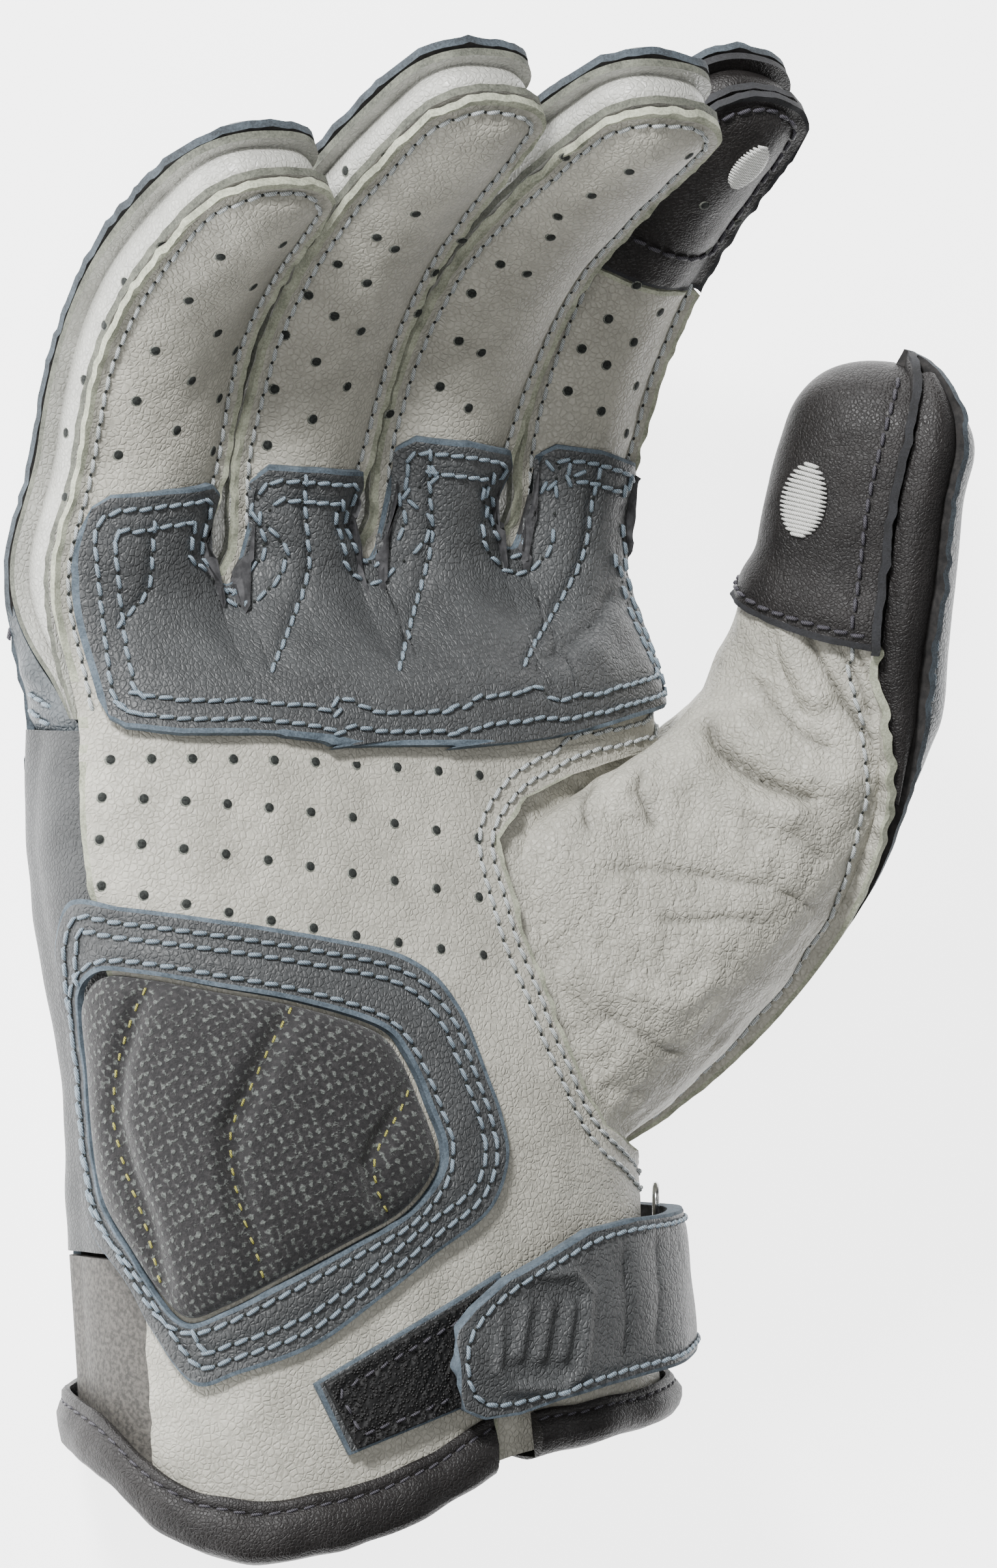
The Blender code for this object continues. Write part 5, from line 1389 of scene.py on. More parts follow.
FRAME_WALL = 0.0012
PAD_RISE = 0.0042          # how far the quilted pad swells above its edge
# Palm overlay: strip position across, lower edge, upper edge (shares of palm length).
OVERLAY = (
    # across, lower, upper
    (0.10, 0.835, 1.005), (0.13, 0.815, 1.030), (0.20, 0.806, 1.044), (0.50, 0.800, 1.052),
    (0.80, 0.800, 1.056), (0.885, 0.800, 1.045), (0.905, 0.800, 1.010), (0.915, 0.800, 0.958),
    (0.95, 0.800, 0.948), (1.0, 0.800, 0.945), (1.05, 0.800, 0.948), (1.085, 0.800, 0.958),
    (1.095, 0.800, 1.020), (1.12, 0.800, 1.062), (1.20, 0.798, 1.080), (1.50, 0.795, 1.084),
    (1.82, 0.790, 1.080), (1.895, 0.790, 1.062), (1.915, 0.790, 1.030), (1.925, 0.789, 0.990),
    (1.96, 0.788, 0.978), (2.0, 0.787, 0.976), (2.04, 0.787, 0.978), (2.075, 0.788, 0.990),
    (2.085, 0.788, 1.050), (2.11, 0.789, 1.095), (2.20, 0.790, 1.112), (2.50, 0.790, 1.118),
    (2.80, 0.790, 1.112), (2.89, 0.789, 1.095), (2.91, 0.788, 1.050), (2.925, 0.788, 1.002),
    (2.96, 0.787, 0.992), (3.0, 0.788, 0.990), (3.04, 0.790, 0.992), (3.075, 0.793, 1.002),
    (3.09, 0.795, 1.040), (3.12, 0.798, 1.080), (3.22, 0.805, 1.096), (3.50, 0.818, 1.100),
    (3.80, 0.828, 1.094), (3.93, 0.834, 1.075),
)
LAYER = 0.0004             # clearance under a small overlay
OVERLAY_GAP = 0.0009       # clearance under the wide palm overlay
LOOP = ((115.5, 0.124), (93.0, 0.166), (84.0, 0.292), (121.5, 0.192))
# Wrist strap: angle round the wrist, lower edge, upper edge, height above the leather.
STRAP = (
    (98.2, 0.190, 0.222, 0.0041), (97.0, 0.164, 0.243, 0.0042), (93.5, 0.155, 0.262, 0.0042),
    (87.0, 0.158, 0.288, 0.0042), (79.0, 0.170, 0.306, 0.0042), (69.0, 0.180, 0.330, 0.0043),
    (57.0, 0.188, 0.338, 0.0043), (44.0, 0.194, 0.339, 0.0042), (31.0, 0.200, 0.342, 0.0040),
    (18.0, 0.205, 0.343, 0.0036), (6.0, 0.210, 0.343, 0.0030), (-8.0, 0.212, 0.343, 0.0024),
    (-22.0, 0.212, 0.343, 0.0016), (-32.0, 0.212, 0.343, 0.0008),
)
STRAP_WALL = 0.0022
BACKING = 0.0008           # leather under the loop tape
TAPE = 0.0012              # loop tape


# ---- the work: looks first, then sheets, solids, threads, holes ----
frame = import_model()

bone = leather("bone_leather", colour(138, 136, 126), colour(190, 187, 175), grain=1150.0, wrinkle=0.25)
# side bands: the bone leather with lower roughness and more specular, and a colour a little lighter and
# cooler than bone, which is a painted sheen
glossy_bone_with_sheen = leather("glossy_bone_leather_painted_sheen", colour(146, 146, 140), colour(196, 196, 190), grain=1150.0,
                 rough=0.36, gloss=0.8)
soft_bone = leather("soft_bone_leather", colour(138, 136, 126), colour(190, 187, 175), grain=1150.0,
                    wrinkle=1.0)
bone_edge = raw_edge("bone_cut_edge", colour(108, 112, 96), colour(184, 186, 166))
# painted shade: a darker copy of the bone cut edge for the band lips, where the channels between the fingers
# lie in shade
shaded_band_edge = raw_edge("shaded_band_cut_edge", colour(46, 48, 42), colour(112, 114, 102))
bone_inside = plain_look("bone_inside", colour(110, 106, 98), colour(140, 136, 126), 900.0, 0.8, 0.0001)
grey = leather("grey_leather_grain", colour(50, 51, 52), colour(79, 81, 82), grain=1350.0,
               relief=0.00011, rough=0.46, wrinkle=0.3, stretch=(1.0, 0.8, 1.0))
grey_edge = raw_edge("grey_cut_edge", colour(46, 56, 64), colour(100, 113, 124))
# painted shade: a darker copy of the grey leather, used for the side panel
shaded_side_grey = leather("shaded_side_leather_grain", colour(34, 36, 37), colour(58, 60, 61), grain=1350.0, rough=0.46)
grey_inside = plain_look("grey_inside", colour(46, 46, 48), colour(66, 66, 68), 900.0, 0.8, 0.0001)
dark = leather("dark_leather_grain", colour(50, 54, 57), colour(84, 90, 94), grain=1000.0,
               relief=0.00012, rough=0.45)
dark_edge = raw_edge("dark_cut_edge", colour(26, 30, 34), colour(74, 84, 92))
black = leather("black_leather_grain", colour(14, 12, 12), colour(36, 33, 32), grain=1700.0,
                relief=0.00006, rough=0.5, wrinkle=0.4, gloss=0.4)
black_edge = raw_edge("black_cut_edge", colour(14, 14, 15), colour(40, 41, 45))
hide_inside = plain_look("lining", colour(22, 21, 21), colour(38, 36, 35), 900.0, 0.85, 0.0001)
stretch_cloth = plain_look("stretch_cloth", colour(54, 52, 49), colour(84, 81, 76), 1500.0, 0.75, 0.00012)
# outside, cut edge and inside of each leather
BONE = bone, bone_edge, bone_inside
SOFT_BONE = soft_bone, bone_edge, bone_inside
GREY = grey, grey_edge, grey_inside
SHADED_SIDE_GREY = shaded_side_grey, grey_edge, grey_inside
DARK = dark, dark_edge, hide_inside
BLACK = black, black_edge, hide_inside
knit = knit_look()
loops_look = tape_look()
light_thread = thread_look("light_thread", colour(126, 132, 134), colour(200, 204, 204))
grey_thread = thread_look("grey_thread", colour(84, 98, 108), colour(142, 156, 168))
dark_thread = thread_look("dark_thread", colour(28, 26, 31), colour(78, 76, 84))
yellow_thread = thread_look("yellow_thread", colour(110, 106, 44), colour(176, 172, 88))
white_thread = thread_look("white_thread", colour(180, 180, 176), colour(232, 232, 228), 0.45)
# holes are painted spots: the wall spot a cut wall lit on one side, the dark spot painted shade over the dark
# lining seen through
shaded_hole_wall = plain_look("shaded_hole_wall", colour(72, 76, 70), colour(118, 120, 112), 3000.0, 0.8, 0.00005)
painted_hole_shade = plain_look("painted_hole_shade", colour(12, 15, 14), colour(36, 40, 37), 3000.0, 0.9, 0.00005)
steel = plain_look("steel", colour(180, 180, 178), colour(222, 222, 220), 700.0, 0.22, 0.00002, metal=1.0)

# Folds in photograph pixels: height mm, width px, line.
THUMB_FOLDS = (
    (-2.25, 14, ((1080, 1090), (1101, 1138), (1134, 1170), (1172, 1197), (1220, 1219), (1274, 1232))),
    (1.5, 28, ((1045, 1125), (1085, 1192), (1139, 1232), (1193, 1250), (1265, 1252))),
    (1.25, 26, ((1112, 1075), (1166, 1138), (1226, 1185), (1302, 1206), (1350, 1214))),
    (1.25, 22, ((1190, 940), (1215, 1008), (1247, 1062), (1279, 1093))),
    (-1.35, 10, ((1218, 930), (1253, 1008), (1291, 1073), (1339, 1138), (1345, 1165))),
    (-0.9, 9, ((1247, 940), (1290, 1000), (1318, 1051), (1350, 1125))),
    (-0.9, 8, ((1265, 945), (1308, 990), (1340, 1050), (1368, 1110))),
    (-0.75, 8, ((1190, 950), (1196, 1010), (1216, 1066), (1240, 1110))),
    (-0.75, 9, ((1150, 1030), (1180, 1080), (1230, 1130), (1290, 1160))),
    (-1.05, 10, ((988, 1175), (982, 1214), (998, 1246), (1012, 1280))),
    (0.75, 18, ((962, 1180), (956, 1220), (972, 1262))),
    (-0.9, 9, ((915, 1186), (895, 1219), (901, 1257), (912, 1280))),
    (-0.75, 10, ((918, 1339), (990, 1335), (1052, 1339), (1155, 1357), (1209, 1362))),
    (-0.68, 10, ((990, 1415), (1052, 1415), (1128, 1411), (1191, 1420))),
    (-0.6, 9, ((1186, 1366), (1222, 1379), (1258, 1404))),
    (-0.6, 10, ((1209, 1272), (1276, 1330))),
    (-0.75, 11, ((910, 1545), (972, 1585), (1026, 1616), (1070, 1620))),
    (-0.45, 9, ((918, 1670), (990, 1679))),
    (0.62, 24, ((847, 1491), (963, 1527), (1052, 1536), (1142, 1491))),
)
OVERLAY_QUILT = (
    ((238, 796), (235, 834), (230, 910), (203, 936), (174, 971)),
    ((471, 726), (468, 764), (471, 808), (477, 872), (458, 930), (442, 971), (426, 1009), (415, 1036)),
    ((662, 687), (658, 731), (666, 826), (650, 889), (631, 956), (615, 1020), (611, 1034)),
    ((923, 715), (909, 770), (900, 841), (880, 889), (848, 944), (820, 988), (801, 1030)),
)
OVERLAY_FOLDS = tuple((-0.7, 9, line) for line in OVERLAY_QUILT) + (
    (-0.9, 12, ((947, 893), (915, 956), (856, 1000), (809, 1035))),
    (0.5, 30, ((960, 930), (900, 1000), (840, 1050))),
)

# front and back panels
COUNT = 29
points, outward, faces = panel(1, fine_rows(PANEL_ROWS, 0.0062), COUNT, 100, 2 * (COUNT - 1) + 1, CAP_START)
palm_sheet = Sheet(points, outward, faces, ripple(0.016, 0.00022, 3), ripple(0.006, 0.00007, 4),
                   frill=0.00032)
leather_piece("palm_panel", "light_leather", palm_sheet, BONE)

BACK_ROWS = (0.17, 0.38, 0.393, 0.42, 0.60, 0.70, 0.77, 0.80, 0.815, 1.0)
BACK_COUNT = 19
points, outward, faces = panel(-1, fine_rows(BACK_ROWS, 0.012), BACK_COUNT, 60, 4 * (BACK_COUNT - 1) + 1)
back_sheet = Sheet(points, outward, faces, ripple(0.02, 0.0002, 5), frill=0.00032)
leather_piece("back_panel", "dark_leather", back_sheet, DARK)

finger = HAND["index"]
q = strip_columns(COUNT)[0]
reach = finger.root[1] + tip_reach(finger, q)
u = 3 + (q + 1) / 2
B = np.stack([tip_row(finger, crotch_level(u), reach, v) for v in np.linspace(CAP_START + 0.006, 1, 50)])
U = np.broadcast_to(u, B.shape)
cap_sheet = surface_sheet(lambda u, b, h: sheet(u, b, 1, h, strip=3), U, B, ripple(0.008, 0.0001, 6),
                          frill=0.00032)
leather_piece("index_tip_cap", "black_leather", cap_sheet, BLACK)

bands = [band_piece("side_band_" + name, i, glossy_bone_with_sheen, shaded_band_edge, "light_leather")
         for i, name in enumerate(NAMES[:3])]
for node, half in (("side_band_index_inner", -1), ("side_band_index_outer", 1)):
    band_piece(node, 3, glossy_bone_with_sheen, shaded_band_edge, "light_leather", last=CAP_START, half=half)
band_piece("index_tip_band", 3, black, black_edge, "black_leather", first=CAP_START + 0.015)

# little finger side and gusset
k, B = np.meshgrid(np.linspace(0, 1, 40), np.linspace(0.31, 0.808, 80) * PALM_LENGTH)
T = math.radians(ULNAR - 4) * (1 - k) + (back_side(B) - 0.012) * k
side_sheet = surface_sheet(palm, T, B, ripple(0.012, 0.00015, 7),
                           h=UNDER * (ease((k - 0.62) / 0.3) - 1))
leather_piece("side_panel", "grey_leather", side_sheet, SHADED_SIDE_GREY)

GUSSET = (0.804, 0.93)     # lower and upper end, shares of the palm length


def folded_gusset():
    """Straight lines from the front seam to the back panel, bulging outwards by a sine across
    with two and a half pleats along it; the bulge fades above and the lower end tucks in."""
    share = np.linspace(*GUSSET, 60)[:, None]
    b = share[:, 0] * PALM_LENGTH
    front = free_edge(0, b, -1)
    k = np.linspace(0, 1, 24)
    p = front[:, None] + (sheet(0 * b, b, -1, -0.0004) - front)[:, None] * k[:, None]
    bulge = 0.0016 + 0.0005 * np.sin(np.linspace(0, 5 * math.pi, len(b)))[:, None]
    bulge = bulge * np.sin(math.pi * k) * (1 - ease((share - 0.85) / 0.05))
    p[..., 0] += 0.0010 * (1 - k) - bulge + 0.0012 * (1 - ease((share - GUSSET[0]) / 0.02))
    return Sheet(p, np.broadcast_to([-1.0, 0, 0], p.shape), grid(*p.shape[:2]))


gusset_sheet = folded_gusset()
leather_piece("knuckle_gusset", "dark_leather", gusset_sheet, DARK, wall=WALL * 0.8)

# thumb
THUMB_CAP = 0.63           # lower edge of the tip cap, share from base to tip
panel_rows = np.concatenate([np.linspace(0, 0.05, 12)[:-1], np.linspace(0.05, THUMB_CAP - 0.004, 190)])
ball_sheet = thumb_sheet(seams(1, CLEAR), inner_line(-1), panel_rows, 170, (-1, 0), folds(*THUMB_FOLDS),
                         ripple(0.012, 0.0002, 8), ripple(0.0045, 0.00016, 31, (1.0, 0.6, 1.0)),
                         frill=0.0003)
leather_piece("thumb_panel", "light_leather", ball_sheet, SOFT_BONE)
tip_rows = 1 - np.linspace(1, 0, 70) ** 1.6 * (1 - THUMB_CAP + 0.010)
thumb_cap_sheet = thumb_sheet(seams(1, CLEAR + 0.02), inner_line(-1), tip_rows, 60, (-1, 0),
                              ripple(0.009, 0.0001, 9), frill=0.0003,
                              h=0.0014 * (1 - ease((tip_rows - THUMB_CAP) / 0.09))[:, None])
leather_piece("thumb_tip_cap", "black_leather", thumb_cap_sheet, BLACK)
back_rows = np.concatenate([np.linspace(0, 0.9, 110)[:-1], 1 - np.linspace(1, 0, 30) ** 1.6 * 0.1])
thumb_back_sheet = thumb_sheet(inner_line(1), seams(2, 2 * math.pi - CLEAR), back_rows, 70, (0, 1),
                               ripple(0.012, 0.0003, 10), frill=0.0004)
leather_piece("thumb_back", "dark_leather", thumb_back_sheet, DARK)
strip_rows = np.linspace(0.41, 0.985, 100)
thumb_strip_sheet = thumb_sheet(seams(2, 0.07), seams(1, -0.04), strip_rows, 15, (0, 0),
                                h=0.0012 + 0.0012 * np.sin(np.linspace(0, math.pi, 15)))
leather_piece("thumb_side_strip", "black_leather", thumb_strip_sheet, BLACK)

# cuff
cuff_strip_sheet = cuff_sheet(158.0, BACK_ULNAR + 10.0, 0.305, strip_rise, 50, 40)
leather_piece("cuff_strip", "stretch", cuff_strip_sheet, (stretch_cloth,), kind="cloth")
flap_sheet = cuff_sheet(SLIT_ANGLE + 1.8, FLAP_END, 0.262, flap_tuck, 90, 26, ripple(0.012, 0.0002, 12))
leather_piece("cuff_flap", "light_leather", flap_sheet, BONE)
tau = np.arange(SLIT_ANGLE + 2.4, 349.0, 1.5)
CUFF_HEIGHTS = (0.6, 0.7, 0.95, 1.0, 1.0, 0.8, 0.6)        # shares of BINDING_HEIGHT at BINDING_TURNS
FLAP_HEIGHTS = (0.5, 0.62, 0.75, 0.75, 1.0, 0.8, 0.6)
binding_sheet, binding_groove = binding_piece("cuff_binding", tau, CUFF_HEIGHTS, black)
tau = np.linspace(FLAP_END, 79.5, 60)
flap_binding_sheet, flap_groove = binding_piece("flap_binding", tau, FLAP_HEIGHTS, black, flap_tuck(tau))

# palm overlay
across, lower, upper = table(OVERLAY, "across", "lower", "upper")
u_over = fine_rows(across, 0.028)
low_over, high_over = np.interp(u_over, across, lower), np.interp(u_over, across, upper)
B = (low_over + (high_over - low_over) * np.linspace(0, 1, 66)[:, None]) * PALM_LENGTH
U = np.broadcast_to(u_over, B.shape)
overlay_sheet = surface_sheet(lambda u, b, h: sheet(u, b, 1, h), U, B, folds(*OVERLAY_FOLDS),
                              ripple(0.012, 0.00025, 13), h=OVERLAY_GAP + WALL, round_edge=0.00018,
                              frill=0.00016)
leather_piece("palm_overlay", "grey_leather", overlay_sheet, GREY)

# heel frame and pad
turn = np.linspace(0, 360, 241)[:-1]
outer_angle, outer_along = outline(FRAME_OUT, turn)
inner_angle, inner_along = outline(FRAME_IN, turn)
k = np.linspace(0, 1, 16)[:, None]
T = np.radians(outer_angle + (inner_angle - outer_angle) * k)
B = (outer_along + (inner_along - outer_along) * k) * PALM_LENGTH
frame_sheet = surface_sheet(palm, T, B, ripple(0.01, 0.00012, 14),
                            h=LAYER + FRAME_WALL + 0.0004 * k + 0 * T, closed=True, round_edge=0.00016)
leather_piece("heel_frame", "grey_leather", frame_sheet, GREY, wall=FRAME_WALL)

# lines of quilting: angle round the palm, share along
QUILT = (
    ((148, 0.577), (156, 0.543), (166, 0.49), (170, 0.44), (166, 0.39), (160, 0.343), (156, 0.28)),
    ((119, 0.547), (125, 0.51), (130, 0.473), (136, 0.433), (136, 0.393), (134, 0.35), (131, 0.313),
     (130, 0.287)),
    ((98, 0.483), (101, 0.447), (105, 0.42), (107, 0.397), (106, 0.367), (104, 0.347)),
)
quilt_px = [np.stack(seen(palm(np.radians(np.array(line)[:, 0]), np.array(line)[:, 1] * PALM_LENGTH)), -1)
            for line in QUILT]
PAD_INSET = 0.965          # the pad's edge as a share of the frame's opening
KNIT_TURN = 0.00082        # metres of knit to a degree round the palm


def quilted_pad(turn, angle, along):
    """Padded knit in the frame: each ring is a share of the opening about its middle, lifted by
    PAD_RISE * sqrt(1 - share ** 3.2); bell shaped valleys follow the lines of quilting. Returns
    its points and faces, where each lies on the knit in metres, and its upper sheet."""
    rings = np.concatenate([[1.0, 0.985, 0.965], np.linspace(0.94, 0.02, 58)])[:, None]
    T = PAD_CENTRE[0] + (angle - PAD_CENTRE[0]) * rings * PAD_INSET
    B = PAD_CENTRE[1] + (along - PAD_CENTRE[1]) * rings * PAD_INSET
    rise = PAD_RISE * np.sqrt(np.maximum(1 - rings ** 3.2, 0)) + 0 * T
    pad = palm(np.radians(T), B * PALM_LENGTH, LAYER + 0.0009 + rise)
    under = palm(np.radians(T), B * PALM_LENGTH, LAYER + 0 * T).reshape(-1, 3)
    out = (palm(np.radians(T), B * PALM_LENGTH, LAYER + 0.0019 + rise) - pad).reshape(-1, 3)
    pad = pad.reshape(-1, 3)
    px, py = seen(pad)
    valley = np.zeros(len(px))
    for line in quilt_px:
        valley = np.maximum(valley, np.exp(-(distance_to(px, py, line)[0] / 17) ** 2))
    pad = pad - unit(out) * (valley * 0.0021 * (rise.reshape(-1) / PAD_RISE))[:, None]

    n, count = len(turn), len(pad)
    top = grid(len(rings), n, closed=True)
    k = np.arange(0, n, 2)
    last = (len(rings) - 1) * n
    here, there, beyond = last + k, last + (k + 1) % n, last + (k + 2) % n
    hub = np.stack([np.full(len(k), 2 * count), here, there, beyond], -1)
    hub_under = np.stack([np.full(len(k), 2 * count + 1), count + beyond, count + there, count + here], -1)
    k, ahead = np.arange(n), (np.arange(n) + 1) % n
    wall = np.stack([k, count + k, count + ahead, ahead], -1)
    points = np.concatenate([pad, under, [pad[last:last + n].mean(0), under[last:last + n].mean(0)]])
    every = outwards(points, np.concatenate([top, top[:, ::-1] + count, hub, hub_under, wall]))
    metres = np.stack([-T.ravel() * KNIT_TURN, B.ravel() * PALM_LENGTH], -1)
    middle = np.array([[-PAD_CENTRE[0] * KNIT_TURN, PAD_CENTRE[1] * PALM_LENGTH]])
    return points, every, np.concatenate([metres, metres, middle, middle]), Sheet(pad, out, top)


points, every, metres, pad_sheet = quilted_pad(turn, inner_angle, inner_along)
pad_piece = place("heel_pad_knit", points, every, [knit], "knit", ("heel_pad",), uv=metres)


# loop tape, strap


def patch_sheet(corners, rows, columns, h, *reliefs):
    """Four-cornered patch on the palm: its corners' angles and levels mixed both ways."""
    c = np.array(corners, float)
    r = np.linspace(0, 1, rows)[:, None, None]
    k = np.linspace(0, 1, columns)[None, :, None]
    p = (1 - r) * ((1 - k) * c[0] + k * c[1]) + r * ((1 - k) * c[3] + k * c[2])
    return surface_sheet(palm, np.radians(p[..., 0]), p[..., 1] * PALM_LENGTH, *reliefs, h=h,
                         round_edge=0.0001)


backing_sheet = patch_sheet(LOOP, 34, 44, LAYER + BACKING)
leather_piece("loop_backing", "grey_leather", backing_sheet, GREY, wall=BACKING)
middle = np.mean(LOOP, axis=0)
loop_sheet = patch_sheet(middle + (np.array(LOOP) - middle) * 0.90, 90, 110, LAYER + BACKING + 0.0003 + TAPE,
                         ripple(0.0011, 0.00013, 15))
leather_piece("loop_patch", "tape", loop_sheet, (loops_look,), wall=TAPE, kind="tape")

angle, lower, upper, height = table(STRAP, "angle", "lower", "upper", "height")
turn_angle = -fine_rows(-angle, 0.55)
low, high, lift = (np.interp(-turn_angle, -angle, column) for column in (lower, upper, height))
k = np.linspace(0, 1, 44)[:, None]
T = np.radians(turn_angle) + 0 * k
B = (low + (high - low) * k) * PALM_LENGTH
MOTIF = (
    (0.8, 9, ((775, 1990), (800, 1960), (880, 1956), (905, 1985), (893, 2105), (865, 2134), (785, 2132),
              (763, 2105), (775, 1990))),
    (0.8, 10, ((792, 2100), (812, 1992))),
    (0.8, 10, ((826, 2102), (846, 1990))),
    (0.8, 10, ((860, 2100), (880, 1988))),
)
STRAP_FOLDS = (
    (-0.5, 10, ((958, 1900), (966, 2000), (960, 2110))),
    (-0.4, 9, ((1010, 1880), (1016, 1990), (1008, 2090))),
)
strap_sheet = surface_sheet(palm, T, B, folds(*MOTIF), folds(*STRAP_FOLDS), ripple(0.014, 0.00022, 16),
                            h=lift + STRAP_WALL + 0.0004 * np.sin(math.pi * k), round_edge=0.0002)
leather_piece("wrist_strap", "grey_leather", strap_sheet, GREY, wall=STRAP_WALL)
part = (turn_angle <= angle[1]) & (turn_angle >= angle[6])
k = np.linspace(0.06, 0.94, 40)[:, None]
B = (low[part] + (high[part] - low[part]) * k) * PALM_LENGTH
hook_sheet = surface_sheet(palm, np.radians(turn_angle[part]) + 0 * k, B, h=lift[part] - 0.0003 + 0 * k)
leather_piece("strap_hook", "tape", hook_sheet, (loops_look,), wall=0.0006, kind="tape")

RING_PLACE = (20.0, 0.346, 0.0026)     # degrees round the wrist, share along, metres above the leather
RING_SIZE, RING_WIRE = 0.0026, 0.0005  # radii


def steel_ring(around=48, section=14):
    """A small circle carried round a larger one that stands upright, edge on to the strap."""
    angle, along, lift = RING_PLACE
    centre = palm(np.array([math.radians(angle)]), np.array([along * PALM_LENGTH]), np.array([lift]))[0]
    a, s = np.meshgrid(np.linspace(0, 2 * math.pi, around + 1)[:-1],
                       np.linspace(0, 2 * math.pi, section + 1)[:-1], indexing="ij")
    radial = np.cos(a)[..., None] * TOWARDS + np.sin(a)[..., None] * UP
    ring = (centre + radial * (RING_SIZE + RING_WIRE * np.cos(s))[..., None]
            + RIGHT * (RING_WIRE * np.sin(s))[..., None]).reshape(-1, 3)
    r, k = np.meshgrid(np.arange(around), np.arange(section), indexing="ij")
    r, r_next, k_next = r * section, (r + 1) % around * section, (k + 1) % section
    faces = np.stack([r + k, r + k_next, r_next + k_next, r_next + k], -1).reshape(-1, 4)
    return ring, outwards(ring, faces)


place("strap_ring_steel", *steel_ring(), [steel], "steel", ("strap_ring",))


# ---- threads ----
# Rows of stitches, in metres from an edge.
EDGE_ROW = 0.0022
THUMB_ROWS = (0.0020, 0.0043)
OVERLAY_ROWS = (0.0020, 0.0048)
FRAME_ROWS = (0.0023, 0.0043)
FRAME_INNER_ROW = 0.0016
STRAP_ROW = 0.0015
TAPE_ROW = 0.0026
ALONG = 0.0002             # a row that follows its line
# Rows in photograph pixels: two lines across the gusset, and each bar tack's box and face.
GUSSET_LINES = (
    ((38, 1060), (58, 1072), (80, 1090)),
    ((40, 1085), (60, 1101), (82, 1119)),
)
BAR_TACKS = (
    # left, right, top, bottom, face
    (466, 592, 2330, 2352, binding_sheet),
    (842, 944, 2176, 2202, flap_binding_sheet),
)
light = Thread("light_stitching", light_thread, "thread")
blue = Thread("grey_stitching", grey_thread, "thread")
dim = Thread("dark_stitching", dark_thread, "thread")
gold = Thread("quilt_stitching", yellow_thread, "thread")
white = Thread("touch_mark_stitching", white_thread, "thread")


def rows_beside(thread, path, sheet_of_path, distances, *sheets, **shape):
    """Rows of stitches at set distances from an edge; the sign chooses the side."""
    for distance in distances:
        line, normal = beside(path, sheet_of_path, distance)
        if len(line) > 4:
            thread.row(line, normal, *(sheets or (sheet_of_path,)), **shape)


for i in range(4):
    front, back, share, _ = band_path(i)
    # the path runs from the little finger side up round the tip, so the panel lies to its right
    if i < 3:
        rows_beside(light, front, palm_sheet, (-EDGE_ROW,))
    else:
        tip = int(np.argmax(share))
        below = share <= CAP_START
        rows_beside(light, front[:tip][below[:tip]], palm_sheet, (-EDGE_ROW,))
        rows_beside(light, front[tip:][below[tip:]], palm_sheet, (-EDGE_ROW,))
        rows_beside(dim, front[share > CAP_START + 0.01], cap_sheet, (-EDGE_ROW,))
    rows_beside(dim, back, back_sheet, (EDGE_ROW,))
b = sheet(np.linspace(3.05, 3.95, 30), (crotch_level(3.5) + (CAP_START + 0.02) * finger.length), 1, strip=3)
rows_beside(dim, b, cap_sheet, (ALONG,))


def outer_row(thread, column, shift, v, way, face):
    """Row of stitches a little way in from one of the seams down the outer side of the thumb."""
    psi = seams(column, shift)(v) + way * np.interp(v, (0, 0.5, 1), (0.10, 0.17, 0.21))
    line = thumb_tip(psi, v, 0.0)
    thread.row(line, nearest_normals(line, face), face)


# thumb edge of the palm panel, outer seam and tip of the thumb
THUMB_EDGE_ROWS = (0.30, 0.374, 0.383, 0.392, 0.400, 0.427, 0.703, 0.743, 0.765, 0.785, 0.80, 0.815)
b = fine_rows(THUMB_EDGE_ROWS, 0.004)
edge = smooth(sheet(np.full_like(b, 4.0), b * PALM_LENGTH, 1), 4)
rows_beside(light, edge, palm_sheet, THUMB_ROWS)
v = np.linspace(0.03, THUMB_CAP - 0.01, 90)
outer_row(light, 1, CLEAR, v, 1, ball_sheet)
v = np.linspace(THUMB_CAP + 0.01, 0.985, 60)
outer_row(dim, 1, CLEAR + 0.02, v, 1, thumb_cap_sheet)
psi = np.linspace(math.radians(64), math.radians(200), 60)
rows_beside(dim, thumb_tip(psi, 0 * psi + THUMB_CAP + 0.008, 0.0), thumb_cap_sheet, (ALONG,))
v = np.linspace(0.03, 0.985, 120)
outer_row(blue, 2, 2 * math.pi - CLEAR, v, -1, thumb_back_sheet)

# overlay, heel frame, strap, tape: rows inside their cut edges
rim = np.concatenate([np.stack([u_over, low_over], -1), np.stack([u_over, high_over], -1)[::-1]])
rim = np.concatenate([rim, rim[:8]])
line = sheet(rim[:, 0], rim[:, 1] * PALM_LENGTH, 1, OVERLAY_GAP + WALL)
rows_beside(blue, line, overlay_sheet, OVERLAY_ROWS)
for quilt in OVERLAY_QUILT:
    blue.traced(quilt, overlay_sheet, length=0.0019)
for line in GUSSET_LINES:
    blue.traced(line, gusset_sheet, side_sheet)
turn = np.linspace(0, 364, 400)
a, b = outline(FRAME_OUT, turn)
rows_beside(blue, palm(np.radians(a), b * PALM_LENGTH, LAYER + FRAME_WALL), frame_sheet, FRAME_ROWS)
a, b = outline(FRAME_IN, turn)
rows_beside(blue, palm(np.radians(a), b * PALM_LENGTH, LAYER + FRAME_WALL), frame_sheet, (-FRAME_INNER_ROW,))
for line in quilt_px:
    gold.traced(line, pad_sheet, length=0.0013, radius=0.0002, height=0.0)
left = np.linspace(high[0], low[0], 12)[1:-1]
